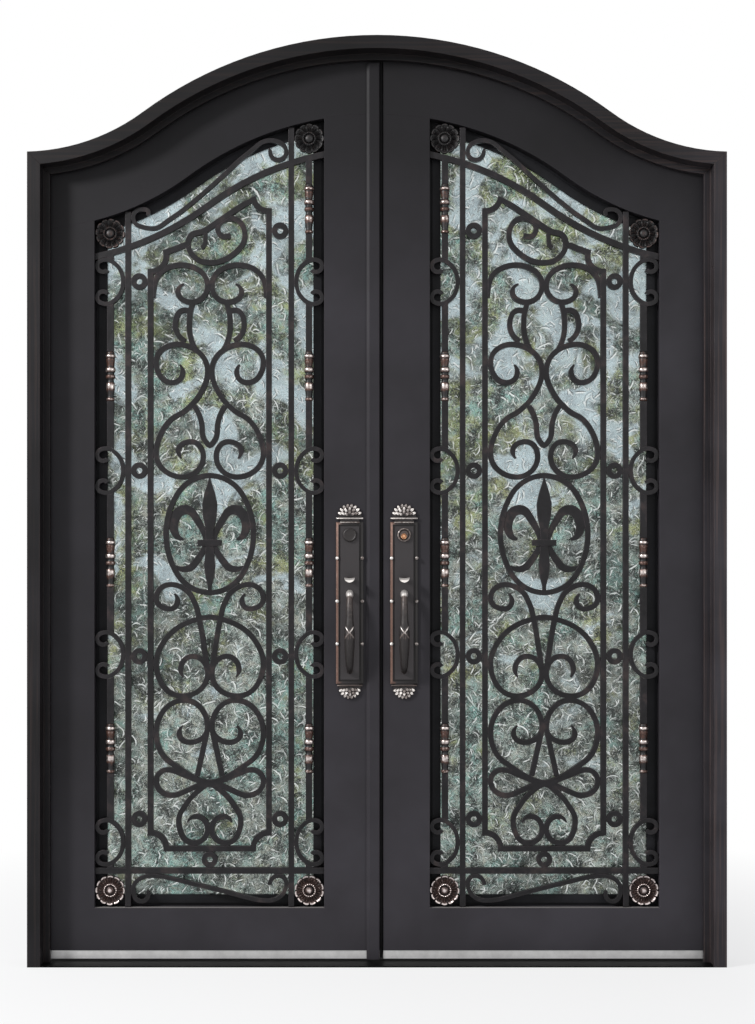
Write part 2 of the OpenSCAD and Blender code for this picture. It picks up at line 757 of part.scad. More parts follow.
leg_line = [
  [85, 958, 270], [105, 936, 0], [141.5, 964, 90], [103, 1001, 180], [59, 983], [38, 948],
  [27, 905], [20, 868], [14, 828], [5.5, 775]
];
circle_line = [
  [-2, 914, 0], [44, 905], [89, 883], [122, 848], [141.5, 790, 270], [72, 704, 180], [5.5, 765, 90],
  [45, 810, 0], [77, 775, 270]
];
drop_line = [
  [81, 604, 270], [52, 581, 180], [5.5, 622, 90], [67, 693, 0], [141.5, 606, 270], [122, 545],
  [84, 514], [47, 490], [18, 477], [-2, 474, 180]
];
stem_line = [[8, 606], [17, 565], [33, 492]];
loop_line = [[14, 472], [62, 492], [112, 508, 0], [141.5, 478, 270], [100, 440, 180]];
under_line = [[100, 440, 180], [55, 455], [14, 476]];
foot_line = [[-2, 470, 0], [30, 452], [60, 420], [82, 372, 270], [42, 313.3, 180], [5.5, 350, 90], [36, 384, 0]];

module lower_scrolls(side) {
  color(iron) in_grille(side)
    difference() {
      pair() {
        scroll(fit_points(leg_line), bar_w, bar_t, [24, -50], undef);
        scroll(fit_points(circle_line), bar_w, bar_t, undef, [32, -40]);
        scroll(fit_points(drop_line), bar_w, bar_t, [28, 50], undef);
        bent_bar(fit_points(stem_line), bar_w, bar_t);
        bent_bar(fit_points(loop_line), bar_w, bar_t);
        bent_bar(fit_points(under_line), bar_w, bar_t);
        scroll(fit_points(foot_line), bar_w, bar_t, undef, [24, -70]);
      }
      pair() bent_bar(fit_points(oval_line), bar_w + 2 * fit, bar_t);
    }
}

// ---- Castings ----

// Rings between the cartouche and the posts, at heights on the plan. The highest on the hinge side
// stands lower, as the arch does.
ring_levels = [377, 810, 1304];
lock_ring = 1942;
hinge_ring = 1807;
ring_hole = 8;

module rings(side) {
  x = (post_x + side_x + (side_w - post_w) / 2) / 2;
  color(iron) in_grille(side) {
    for (s = [-1, 1]) for (z = concat(ring_levels, s < 0 ? lock_ring : hinge_ring))
      translate([s * x, fit_z(z), 0]) ring(ring_r);
    translate([0, (cross_z + cross_w / 2 + foot_z - side_w / 2) / 2, 0])
      ring((foot_rise - cross_w / 2 - side_w / 2) / 2 - fit);
  }
}

module ring(r) {
  difference() {
    cylinder(r = r, h = bar_t);
    translate([0, 0, -1]) cylinder(r = ring_hole, h = bar_t + 2);
  }
}

// Turned outline of a cast collar: [radius, height], from the foot up.
collar_outline = [
  [0, 0], [8.5, 0], [9.5, 3], [9.5, 7], [8, 10], [12.5, 17], [9.5, 38], [8.5, 45], [12, 48], [12, 53],
  [10, 56], [12.5, 59], [12.5, 64], [9.5, 68], [11.5, 73], [10, 79], [12.5, 103], [13.5, 106],
  [13.5, 112], [10, 115], [12, 121], [8.5, 130], [8.5, 132], [0, 132]
];

module collars(side) {
  color(oiled) in_grille(side)
    for (s = [-1, 1]) for (i = collars_on(s))
      translate([s * baluster_x, collar_z[i] - collar_h / 2, bar_t / 2])
        rotate([-90, 0, 0])
          rotate_extrude()
            polygon([for (p = collar_outline) [p[0], p[1] * (collar_h - 2 * fit) / 132 + fit]]);
}

rosette_out = 5;    // how far the rosettes stand out of the grille

module rosettes(side) {
  x = (open_u1 - open_u0) / 2 - post_in / 2 + post_w / 4;
  color(oiled) in_grille(side)
    for (s = [-1, 1]) {
      top = arch_z(mid_u + s * x, (open_d + cross_d - cross_w / 2) / 2);
      foot = (open_z0 + cross_z - cross_w / 2) / 2;
      for (z = [top, foot]) translate([s * x, z, 0]) rosette();
    }
}

module rosette() {
  rotate_extrude()
    polygon([
      [0, 2], [rosette_r - 6, 2], [rosette_r, 6], [rosette_r, 9], [rosette_r - 5, 13],
      [rosette_r - 13, 11], [rosette_r - 20, 15], [rosette_r - 26, 13], [6, 19], [0, 19]
    ]);
}

// ---- Handles ----

plate_z0 = thumb_z - plate_h * 0.616;
plate_t = 6;
boss_t = 4;
slot_w = 30;
slot_h = 22;
pin_r = 3;
thumb_y = leaf_y0 - plate_t / 2 - boss_t / 2;

module handle_plate(side) {
  z0 = plate_z0 + plate_h * 0.077;
  h = plate_h * 0.831;
  color(oiled) on_side(side)
    translate([handle_in, 0, 0])
      difference() {
        union() {
          translate([-plate_w / 2, leaf_y0 - plate_t, z0]) cube([plate_w, plate_t, h]);
          translate([-plate_w / 2 + 10, leaf_y0 - plate_t - boss_t, z0 + 10])
            cube([plate_w - 20, boss_t + 1, h - 20]);
          translate([0, leaf_y0, thumb_z + 116.5])
            rotate([90, 0, 0]) cylinder(r = 18, h = plate_t + boss_t + 6);
          translate([-plate_w / 2 + 12, leaf_y0 - plate_t, z0 + h - 1])
            cube([plate_w - 24, plate_t, plate_h - h - z0 + plate_z0 + 1]);
          translate([-plate_w / 2 + 14, leaf_y0 - plate_t, plate_z0])
            cube([plate_w - 28, plate_t, z0 - plate_z0 + 1]);
        }
        translate([-slot_w / 2 - fit, leaf_y0 - plate_t - boss_t - 1, thumb_z - slot_h / 2])
          cube([slot_w + 2 * fit, plate_t + boss_t + 2, slot_h]);
        translate([-slot_w / 2 - 5, thumb_y, thumb_z]) rotate([0, 90, 0]) cylinder(r = pin_r + fit, h = slot_w + 10);
      }
}

module thumb_piece(side) {
  color(oiled) on_side(side)
    translate([handle_in, 0, thumb_z]) {
      translate([-slot_w / 2 + 1, thumb_y - 50, -3]) cube([slot_w - 2, 52, 6]);
      translate([-slot_w / 2 - 4, thumb_y, 0]) rotate([0, 90, 0]) cylinder(r = pin_r, h = slot_w + 8);
    }
}

module grip(side) {
  z1 = thumb_z - 34;
  z0 = z1 - grip_h;
  y = leaf_y0 - plate_t - boss_t - grip_out;
  color(oiled) on_side(side)
    translate([handle_in, 0, 0]) {
      translate([0, y, z0]) cylinder(r = grip_w / 2, h = grip_h);
      for (z = [z0 + 14, z1 - 14])
        translate([0, leaf_y0 - plate_t - boss_t - fit, z]) rotate([90, 0, 0]) cylinder(r = 10, h = grip_out);
    }
}

module inside_trim(side) {
  color(oiled) on_side(side)
    translate([handle_in, 0, 0]) {
      translate([-30, leaf_y1, thumb_z - 110]) cube([60, 5, 220]);
      translate([0, leaf_y1 + 4, thumb_z]) rotate([-90, 0, 0]) cylinder(r = 11, h = 40);
      translate([0, leaf_y1 + 52, thumb_z]) scale(1) sphere(r = 26);
    }
}

jamb(-1);  // left_jamb
jamb(1);  // right_jamb
head();
sill();
hinge_stile(-1);  // left_hinge_stile
hinge_stile(1);  // right_hinge_stile
lock_stile(-1);  // left_lock_stile
lock_stile(1);  // right_lock_stile
top_rail(-1);  // left_top_rail
top_rail(1);  // right_top_rail
bottom_rail(-1);  // left_bottom_rail
bottom_rail(1);  // right_bottom_rail
sweep(-1);  // left_sweep
sweep(1);  // right_sweep
astragal();
glass_frame(-1);  // left_glass_frame
glass_frame(1);  // right_glass_frame
glass(-1);  // left_glass
glass(1);  // right_glass
bars(-1);  // left_bars
bars(1);  // right_bars
cartouche(-1);  // left_cartouche
cartouche(1);  // right_cartouche
crest_scrolls(-1);  // left_crest_scrolls
crest_scrolls(1);  // right_crest_scrolls
heart_scrolls(-1);  // left_heart_scrolls
heart_scrolls(1);  // right_heart_scrolls
oval(-1);  // left_oval
oval(1);  // right_oval
lower_scrolls(-1);  // left_lower_scrolls
lower_scrolls(1);  // right_lower_scrolls
edge_scrolls(-1);  // left_edge_scrolls
edge_scrolls(1);  // right_edge_scrolls
arch_scroll(-1);  // left_arch_scroll
arch_scroll(1);  // right_arch_scroll
rings(-1);  // left_rings
rings(1);  // right_rings
collars(-1);  // left_collars
collars(1);  // right_collars
rosettes(-1);  // left_rosettes
rosettes(1);  // right_rosettes
handle_plate(-1);  // left_handle_plate
handle_plate(1);  // right_handle_plate
grip(-1);  // left_grip
grip(1);  // right_grip
thumb_piece(-1);  // left_thumb_piece
thumb_piece(1);  // right_thumb_piece
inside_trim(-1);  // left_inside_trim
inside_trim(1);  // right_inside_trim
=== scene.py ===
import math
import bmesh
import bpy
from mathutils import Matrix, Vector


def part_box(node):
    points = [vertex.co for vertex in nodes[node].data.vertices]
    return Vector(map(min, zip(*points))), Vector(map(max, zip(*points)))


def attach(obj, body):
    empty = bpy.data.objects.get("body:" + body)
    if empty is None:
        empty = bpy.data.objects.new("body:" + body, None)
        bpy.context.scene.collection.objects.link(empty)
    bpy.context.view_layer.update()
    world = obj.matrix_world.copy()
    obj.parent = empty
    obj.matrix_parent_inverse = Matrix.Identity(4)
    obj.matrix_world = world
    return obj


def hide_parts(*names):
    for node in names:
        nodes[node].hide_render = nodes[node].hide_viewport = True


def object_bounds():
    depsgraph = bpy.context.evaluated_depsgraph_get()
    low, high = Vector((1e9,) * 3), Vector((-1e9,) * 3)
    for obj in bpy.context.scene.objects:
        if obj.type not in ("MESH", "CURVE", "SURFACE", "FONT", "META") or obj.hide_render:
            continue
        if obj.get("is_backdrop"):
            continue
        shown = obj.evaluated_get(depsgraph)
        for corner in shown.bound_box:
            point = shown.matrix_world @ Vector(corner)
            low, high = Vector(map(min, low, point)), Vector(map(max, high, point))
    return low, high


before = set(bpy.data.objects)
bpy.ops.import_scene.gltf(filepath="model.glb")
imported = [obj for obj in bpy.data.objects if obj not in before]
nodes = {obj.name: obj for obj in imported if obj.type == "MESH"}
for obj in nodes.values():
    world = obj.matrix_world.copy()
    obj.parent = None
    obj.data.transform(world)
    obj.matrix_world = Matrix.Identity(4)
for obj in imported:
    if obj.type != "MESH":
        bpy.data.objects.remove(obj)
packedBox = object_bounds()
scene = bpy.context.scene
scene.view_settings.view_transform = "Standard"
print("Frame loaded with", len(nodes), "pieces")


def linearColour(hexText):
    channels = [int(hexText[i:i + 2], 16) / 255 for i in (1, 3, 5)]
    return tuple(c / 12.92 if c <= 0.04045 else ((c + 0.055) / 1.055) ** 2.4 for c in channels) + (1.0,)


def setInputs(node, inputs):
    # a value is a number, a hex colour, another node's socket, or a node, which means its first live output;
    # "From" and "To" hold the lowest and highest value of a range
    for name, value in inputs.items():
        if name in ("From", "To"):
            setInputs(node, {name + " Min": value[0], name + " Max": value[1]})
            continue
        socket = node.inputs[name if isinstance(name, int) else next(
            k for k, item in enumerate(node.inputs) if item.name == name and item.enabled)]
        if isinstance(value, bpy.types.Node):
            value = next(output for output in value.outputs if output.enabled)
        if isinstance(value, bpy.types.NodeSocket):
            node.id_data.links.new(value, socket)
        else:
            socket.default_value = linearColour(value) if isinstance(value, str) else value


# settings a kind of node has here unless a call says otherwise
usual = {"Mix": {"data_type": "RGBA"}, "Math": {"operation": "MULTIPLY"}, "VectorMath": {"operation": "SCALE"}}


def addNode(tree, kind, inputs={}, **settings):
    # a kind with no "Node" in its name is a shader node
    node = tree.nodes.new(kind if "Node" in kind else "ShaderNode" + kind)
    for name, value in {**usual.get(kind, {}), **settings}.items():
        setattr(node, name, value)
    setInputs(node, inputs)
    return node


# Camera: standing in front of the doorway, level, with the lens shifted up
camera = {"distance": 4.5, "height": 1.0, "widthSeen": 1.9736, "shiftRight": 0.0007, "shiftUp": 0.0966}

cameraData = bpy.data.cameras.new("doorCamera")
cameraData.sensor_fit = "HORIZONTAL"
cameraData.sensor_width = 36
cameraData.lens = 36 * camera["distance"] / camera["widthSeen"]
cameraData.shift_x = camera["shiftRight"]
cameraData.shift_y = camera["shiftUp"]
cameraData.clip_end = 60
cameraObject = bpy.data.objects.new("doorCamera", cameraData)
cameraObject.location = (0, -camera["distance"], camera["height"])
cameraObject.rotation_euler = (math.pi / 2, 0, 0)
scene.collection.objects.link(cameraObject)
scene.camera = cameraObject
print("Camera placed")

# Studio: white surroundings, a soft key from the upper left, a plain pale floor
studio = {"ambient": 0.40, "ambientColour": "#f2f5ff", "aim": (0.0, 0.1, 1.0),
          "keyPower": 250, "keySize": 0.9, "keyPlace": (-3.9, -2.9, 3.7),
          "fillPower": 26, "fillSize": 2.5, "fillPlace": (3.0, -3.0, 2.0),
          "floorColour": "#f4f4f3", "floorSize": 14, "floorLevel": -0.001,
          "floorGlow": 0.7, "glowFrom": (0.9, 2.4)}
white = (1, 1, 1, 1)


def startTree(holder, *kinds):
    # clear node tree, and a socket that is 1 for these kinds of ray
    holder.use_nodes = True
    tree = holder.node_tree
    tree.nodes.clear()
    rays = addNode(tree, "LightPath").outputs
    seen = rays[kinds[0]]
    for kind in kinds[1:]:
        seen = addNode(tree, "Math", {0: seen, 1: rays[kind]}, operation="MAXIMUM")
    return tree, seen


def makeWorld():
    scene.world = bpy.data.worlds.new("paleStudio")
    tree, seen = startTree(scene.world, "Is Camera Ray", "Is Glossy Ray", "Is Transmission Ray")
    soft = addNode(tree, "Background", {"Color": studio["ambientColour"], "Strength": studio["ambient"]})
    plain = addNode(tree, "Background", {"Color": white, "Strength": 1.0})
    addNode(tree, "OutputWorld", {"Surface": addNode(tree, "MixShader", {0: seen, 1: soft, 2: plain})})


def addSoftLamp(kind):
    data = bpy.data.lights.new(kind + "Lamp", "AREA")
    data.shape = "DISK"
    data.size = studio[kind + "Size"]
    data.energy = studio[kind + "Power"]
    lamp = bpy.data.objects.new(kind + "Lamp", data)
    lamp.location = studio[kind + "Place"]
    lamp.rotation_euler = (Vector(studio["aim"]) - lamp.location).to_track_quat("-Z", "Y").to_euler()
    scene.collection.objects.link(lamp)


def makeFloor():
    half, level = studio["floorSize"] / 2, studio["floorLevel"]
    corners = [(x * half, y * half, level) for x, y in ((-1, -1), (1, -1), (1, 1), (-1, 1))]
    mesh = bpy.data.meshes.new("floor")
    mesh.from_pydata(corners, [], [(0, 1, 2, 3)])
    floor = bpy.data.objects.new("floor", mesh)
    scene.collection.objects.link(floor)
    material = bpy.data.materials.new("paleFloor")
    tree, seen = startTree(material, "Is Camera Ray", "Is Transmission Ray")
    place = addNode(tree, "TexCoord").outputs["Object"]
    away = addNode(tree, "VectorMath", {0: place}, operation="LENGTH")
    bright = addNode(tree, "MapRange", {"Value": away, "From": studio["glowFrom"], "To": (studio["floorGlow"], 1.0)})
    share = addNode(tree, "Math", {0: seen, 1: bright})
    matt = addNode(tree, "BsdfDiffuse", {"Color": studio["floorColour"]})
    glow = addNode(tree, "Emission", {"Color": white, "Strength": 1.0})
    addNode(tree, "OutputMaterial", {"Surface": addNode(tree, "MixShader", {0: share, 1: matt, 2: glow})})
    mesh.materials.append(material)
    floor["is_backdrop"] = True


makeWorld()
addSoftLamp("key")
addSoftLamp("fill")
makeFloor()
print("Studio lit")


# In the settings of a material, a noise is scaled in cells per metre
def startMaterial(name, sockets):
    material = bpy.data.materials.new(name)
    material.use_nodes = True
    tree = material.node_tree
    shader = tree.nodes["Principled BSDF"]
    setInputs(shader, sockets)
    place = addNode(tree, "TexCoord").outputs["Object"]
    return material, tree, shader, place


def paintLightAndShade(tree, place, colour, stops):
    # painted light and shade: the paint is darkened or lightened slowly across the doorway, where less or more light
    # falls: stops are (axis, from, to, factor there)
    axes = addNode(tree, "SeparateXYZ", {0: place}).outputs
    for axis, start, end, factor in stops:
        share = addNode(tree, "MapRange", {"Value": axes[axis], "From": (start, end), "To": (1.0, factor)})
        colour = addNode(tree, "VectorMath", {0: colour, 3: share})
    return colour


def edgesOf(tree, radius):
    # softened normal for corners this round, and how near to a corner a point lies
    soft = addNode(tree, "Bevel", {"Radius": radius}, samples=4)
    flat = addNode(tree, "NewGeometry").outputs["True Normal"]
    alike = addNode(tree, "VectorMath", {0: soft, 1: flat}, operation="DOT_PRODUCT")
    near = addNode(tree, "MapRange", {"Value": alike, "From": (0.985, 0.87)})
    return soft, near


# Satin enamel sprayed over welded steel: an even soft sheen, faintly cloudy, with a fine orange peel
leafPaint = {"ledgeHighlight": "#8f8c89", "lit": "#312f33", "shade": "#262427", "worn": "#4b464a",
             "cloud": {"Scale": 1 / 0.3, "Detail": 4.0, "Roughness": 0.6}, "satin": (0.54, 0.42),
             "peel": {"Scale": 1 / 0.0035, "Detail": 1.0}, "peeled": {"Strength": 0.12, "Distance": 0.0004},
             "corner": 0.0018, "ledgeHighlightBand": (0.080, 0.088),
             # painted shade darkens the top of the leaves and the left side of the left leaf; painted light brightens
             # them low down
             "paintedLightAndShade": (("Z", 1.75, 2.15, 0.36), ("Z", 1.0, 0.1, 1.5), ("X", -0.3, -0.78, 0.6))}


def makeLeafPaint():
    s = leafPaint
    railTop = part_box("left_bottom_rail")[1][2]
    material, tree, shader, place = startMaterial("satinCharcoalEnamel", {"Specular IOR Level": 0.2})
    soft, near = edgesOf(tree, s["corner"])
    # the welds between bottom rail and stiles are ground flush: no corner shows below the rail's top
    axes = addNode(tree, "SeparateXYZ", {0: place}).outputs
    flush = addNode(tree, "MapRange", {"Value": axes["Z"], "From": (railTop - 0.003, railTop - 0.002)})
    near = addNode(tree, "Math", {0: near, 1: flush})
    flat = addNode(tree, "NewGeometry").outputs["Normal"]
    soft = addNode(tree, "Mix", {"Factor": flush, "A": flat, "B": soft}, data_type="VECTOR")
    cloud = addNode(tree, "TexNoise", {"Vector": place, **s["cloud"]})
    patch = addNode(tree, "MapRange", {"Value": cloud, "From": (0.32, 0.68)})
    ground = addNode(tree, "Mix", {"Factor": patch, "A": s["shade"], "B": s["lit"]})
    colour = addNode(tree, "Mix", {"Factor": near, "A": ground, "B": s["worn"]})
    # painted light and shade across the doorway
    colour = paintLightAndShade(tree, place, colour, s["paintedLightAndShade"])
    # painted highlight: the front of the ledges that face up is painted pale, as light caught along their edge
    facing = addNode(tree, "SeparateXYZ", {0: flat}).outputs["Z"]
    level = addNode(tree, "MapRange", {"Value": facing, "From": (0.8, 0.95)})
    front = addNode(tree, "MapRange", {"Value": axes["Y"], "From": s["ledgeHighlightBand"], "To": (0.9, 0.0)})
    ledgeHighlightBand = addNode(tree, "Math", {0: level, 1: front})
    ledgeHighlightBand = addNode(tree, "Math", {0: ledgeHighlightBand, 1: patch, 2: ledgeHighlightBand}, operation="MULTIPLY_ADD", use_clamp=True)
    colour = addNode(tree, "Mix", {"Factor": ledgeHighlightBand, "A": colour, "B": s["ledgeHighlight"]})
    sheen = addNode(tree, "MapRange", {"Value": cloud, "From": (0.3, 0.7), "To": s["satin"]})
    peel = addNode(tree, "TexNoise", {"Vector": place, **s["peel"]})
    bump = addNode(tree, "Bump", {"Height": peel, "Normal": soft, **s["peeled"]})
    setInputs(shader, {"Base Color": colour, "Roughness": sheen, "Normal": bump})
    return material


# Bronze glaze brushed by hand over the enamel: thin reddish streaks that run with the brush
framePaint = {"base": "#2a282b", "shade": "#1b191b", "glaze": "#4e403c", "worn": "#5d4f4b", "streakWidth": 0.007,
              "streakLength": 0.5, "streak": {"Scale": 1.0, "Detail": 3.0, "Roughness": 0.65},
              "cloud": {"Scale": 5.0, "Detail": 3.0}, "brushed": {"Strength": 0.15, "Distance": 0.0005},
              "corner": 0.002,
              "plain": {"Roughness": 0.44, "Specular IOR Level": 0.2},
              # painted shade darkens the left jamb and the head; painted light brightens the right jamb
              "paintedLightAndShade": (("X", 0.8, -0.2, 0.5), ("X", 0.8, 0.89, 1.7), ("Z", 1.9, 2.2, 0.55))}


def makeFramePaint(name, brushAxis, glazed):
    s = framePaint
    material, tree, shader, place = startMaterial(name, s["plain"])
    soft, near = edgesOf(tree, s["corner"])
    scale = [1 / s["streakWidth"]] * 3
    scale[brushAxis] = 1 / s["streakLength"]
    brushed = addNode(tree, "Mapping", {"Vector": place, "Scale": scale})
    streak = addNode(tree, "TexNoise", {"Vector": brushed, **s["streak"]})
    cloud = addNode(tree, "TexNoise", {"Vector": place, **s["cloud"]})
    patch = addNode(tree, "MapRange", {"Value": cloud, "From": (0.35, 0.65)})
    ground = addNode(tree, "Mix", {"Factor": patch, "A": s["shade"], "B": s["base"]})
    amount = addNode(tree, "MapRange", {"Value": streak, "From": (0.48, 0.72), "To Max": glazed})
    glazing = addNode(tree, "Mix", {"Factor": amount, "A": ground, "B": s["glaze"]})
    rubbed = addNode(tree, "Math", {0: near, 1: streak})
    colour = addNode(tree, "Mix", {"Factor": rubbed, "A": glazing, "B": s["worn"]})
    bump = addNode(tree, "Bump", {"Height": streak, "Normal": soft, **s["brushed"]})
    # the colour carries painted light and shade across the doorway
    setInputs(shader, {"Base Color": paintLightAndShade(tree, place, colour, s["paintedLightAndShade"]), "Normal": bump})
    return material


# Hammered bar under satin enamel: near black, a little browned where hands and brush have rubbed it
forgedPaint = {"base": "#201e20", "shade": "#131213", "worn": "#463a37", "edge": "#5a5154", "corner": 0.0022,
               "patch": {"Scale": 20.0, "Detail": 4.0, "Roughness": 0.65}, "satin": (0.54, 0.36),
               "hammer": {"Scale": 62.5, "Smoothness": 0.8}, "hammered": {"Strength": 0.5, "Distance": 0.0015}}


def makeForgedPaint():
    s = forgedPaint
    material, tree, shader, place = startMaterial("hammeredIronEnamel", {"Specular IOR Level": 0.25})
    soft, near = edgesOf(tree, s["corner"])
    patch = addNode(tree, "TexNoise", {"Vector": place, **s["patch"]})
    tone = addNode(tree, "MapRange", {"Value": patch, "From": (0.35, 0.6)})
    ground = addNode(tree, "Mix", {"Factor": tone, "A": s["shade"], "B": s["base"]})
    wear = addNode(tree, "MapRange", {"Value": patch, "From": (0.56, 0.74), "To Max": 0.6})
    browned = addNode(tree, "Mix", {"Factor": wear, "A": ground, "B": s["worn"]})
    rubbed = addNode(tree, "Math", {0: near, 1: patch})
    colour = addNode(tree, "Mix", {"Factor": rubbed, "A": browned, "B": s["edge"]})
    gloss = addNode(tree, "MapRange", {"Value": patch, "From": (0.3, 0.7), "To": s["satin"]})
    dents = addNode(tree, "TexVoronoi", {"Vector": place, **s["hammer"]}, feature="SMOOTH_F1")
    bump = addNode(tree, "Bump", {"Height": dents, "Normal": soft, **s["hammered"]})
    setInputs(shader, {"Base Color": colour, "Roughness": gloss, "Normal": bump})
    return material


# Cast metal under a dark patina: black in the hollows, copper and silver where the high places are rubbed.
# Castings high up get less rub, so they are painted darker: painted shade under the head
patina = {"soot": "#0e0908", "grain": {"Scale": 1 / 0.006, "Detail": 4.0, "Roughness": 0.7},
          "grained": {"Strength": 0.25, "Distance": 0.0006}, "heights": (1.4, 2.05)}


def makePatina(name, hollow, brown, bright, roughness, metal, rubUnderTopShade=0.1, uneven=0.35):
    s = patina
    material, tree, shader, place = startMaterial(name, {})
    cast = addNode(tree, "Attribute", attribute_name="rub").outputs["Fac"]
    height = addNode(tree, "SeparateXYZ", {0: place}).outputs["Z"]
    # less rub high up: painted shade on the castings under the head
    reach = addNode(tree, "MapRange", {"Value": height, "From": s["heights"], "To": (1.0, rubUnderTopShade)})
    rub = addNode(tree, "Math", {0: cast, 1: reach})
    grain = addNode(tree, "TexNoise", {"Vector": place, **s["grain"]})
    patchy = addNode(tree, "MapRange", {"Value": grain, "From": (0.25, 0.75), "To": (-uneven, uneven)})
    rubbed = addNode(tree, "Math", {0: rub, 1: patchy}, operation="ADD")
    soot = addNode(tree, "MapRange", {"Value": cast, "From": (0.0, -1.0)})
    dull = addNode(tree, "Mix", {"Factor": soot, "A": hollow, "B": s["soot"]})
    low = addNode(tree, "MapRange", {"Value": rubbed, "From": (0.15, 0.55)})
    high = addNode(tree, "MapRange", {"Value": rubbed, "From": (0.55, 1.0)})
    warm = addNode(tree, "Mix", {"Factor": low, "A": dull, "B": brown})
    colour = addNode(tree, "Mix", {"Factor": high, "A": warm, "B": bright})
    shine = addNode(tree, "MapRange", {"Value": rubbed, "From": (0.3, 0.9), "To": (0.1, metal)})
    rough = addNode(tree, "MapRange", {"Value": rubbed, "From": (0.2, 1.0), "To": (roughness + 0.2, roughness)})
    bump = addNode(tree, "Bump", {"Height": grain, **s["grained"]})
    setInputs(shader, {"Base Color": colour, "Metallic": shine, "Roughness": rough, "Normal": bump})
    return material


# Mill-finish extruded aluminium: pale, drawn lengthwise, softly scuffed
alloy = {"shade": "#d3d2d0", "lit": "#efeeec", "metal": 0.6, "linesPerMetre": (2.0, 900.0, 900.0),
         "satin": (0.34, 0.48), "lines": {"Scale": 1.0, "Detail": 3.0},
         "scuff": {"Scale": 22.0, "Detail": 5.0, "Roughness": 0.7}}


def makeAlloy():
    s = alloy
    material, tree, shader, place = startMaterial("drawnAluminium", {"Metallic": s["metal"]})
    drawn = addNode(tree, "Mapping", {"Vector": place, "Scale": s["linesPerMetre"]})
    lines = addNode(tree, "TexNoise", {"Vector": drawn, **s["lines"]})
    scuff = addNode(tree, "TexNoise", {"Vector": place, **s["scuff"]})
    tone = addNode(tree, "MapRange", {"Value": scuff, "From": (0.3, 0.7)})
    colour = addNode(tree, "Mix", {"Factor": tone, "A": s["shade"], "B": s["lit"]})
    rough = addNode(tree, "MapRange", {"Value": lines, "From": (0.3, 0.7), "To": s["satin"]})
    setInputs(shader, {"Base Color": colour, "Roughness": rough})
    return material


# Satin dark grey enamel on the frame round the glass, a little dusty
glazingPaint = {"name": "darkGlazingEnamel", "low": "#141416", "high": "#212124", "range": {"From": (0.4, 0.7)},
                "noise": {"Scale": 9.0, "Detail": 5.0, "Roughness": 0.65},
                "plain": {"Roughness": 0.5, "Specular IOR Level": 0.15}}
# Sill plate: near black, scuffed paler where feet cross it
sillMetal = {"name": "anodisedSill", "low": "#060606", "high": "#181616",
             "range": {"From": (0.5, 0.75), "To": (0.0, 0.5)},
             "noise": {"Scale": 30.0, "Detail": 6.0, "Roughness": 0.7}, "bump": {"Strength": 0.2, "Distance": 0.0004},
             "plain": {"Roughness": 0.5, "Specular IOR Level": 0.06}}
# Black rubber seal: matt, with a faint grey bloom
rubber = {"name": "blackSealRubber", "low": "#0b0b0c", "high": "#1a191a", "noise": {"Scale": 60.0, "Detail": 3.0},
          "plain": {"Roughness": 0.75, "Specular IOR Level": 0.3}}


def makeTwoTone(s):
    material, tree, shader, place = startMaterial(s["name"], s["plain"])
    noise = addNode(tree, "TexNoise", {"Vector": place, **s["noise"]})
    share = addNode(tree, "MapRange", {"Value": noise, **s["range"]}) if "range" in s else noise
    setInputs(shader, {"Base Color": addNode(tree, "Mix", {"Factor": share, "A": s["low"], "B": s["high"]})})
    if "bump" in s:
        setInputs(shader, {"Normal": addNode(tree, "Bump", {"Height": noise, **s["bump"]})})
    return material


# Cast obscure glass, chipped like ice: grey-green and gritty, crossed by curved chips that catch the
# light on one side and are dark on the other, with paler and greener clouds in it
pane = {"pale": "#cfe2e8", "mid": "#b0beb7", "deep": "#151a18", "olive": "#b2b65c", "cream": "#bdb7a6",
        "teal": "#9ac4bc", "chip": "#fbfffd", "shadow": "#161c19", "shadowDepth": 0.85,
        "plain": {"Roughness": 0.22, "Transmission Weight": 0.85, "IOR": 1.5}, "heights": (0.3, 1.7),
        "cloud": {"Scale": 1 / 0.15, "Detail": 6.0, "Roughness": 0.62, "Distortion": 0.8},
        "clearer": 0.17, "clear": {"From": (0.655, 0.71), "To": (0.0, 0.92)},
        "leaves": {"Scale": 11.0, "Detail": 5.0, "Roughness": 0.72},
        "leafier": 0.10, "leafy": {"From": (0.58, 0.67), "To": (0.0, 0.6)},
        "earth": {"Scale": 45.0, "Detail": 4.0, "Roughness": 0.7, "Distortion": 1.0},
        "earthy": {"From": (0.47, 0.58), "To": (0.0, 0.6)},
        "speck": {"Scale": 1 / 0.0095, "Detail": 4.0, "Roughness": 0.85, "Distortion": 2.2},
        "drift": {"Scale": 26.0, "Detail": 3.0, "Roughness": 0.6}, "gritty": {"From": (0.69, 0.785)},
        "depths": {"Scale": 5.0, "Detail": 3.0, "Roughness": 0.6, "Distortion": 0.5},
        "deeper": {"From": (0.44, 0.62), "To": (1.0, 0.5)},
        "wander": {"Scale": 70.0, "Detail": 1.0}, "wobble": 0.006, "bow": 38.0,
        "relief": {"Strength": 0.5, "Distance": 0.0012},
        # size of a chip's cell, how much of it the chip may fill, and its width, in metres
        "chips": ((0.060, 0.44, 0.0019), (0.047, 0.44, 0.0018), (0.037, 0.44, 0.0016), (0.029, 0.44, 0.0013),
                  (0.022, 0.42, 0.0010), (0.016, 0.40, 0.0008), (0.011, 0.40, 0.0006))}


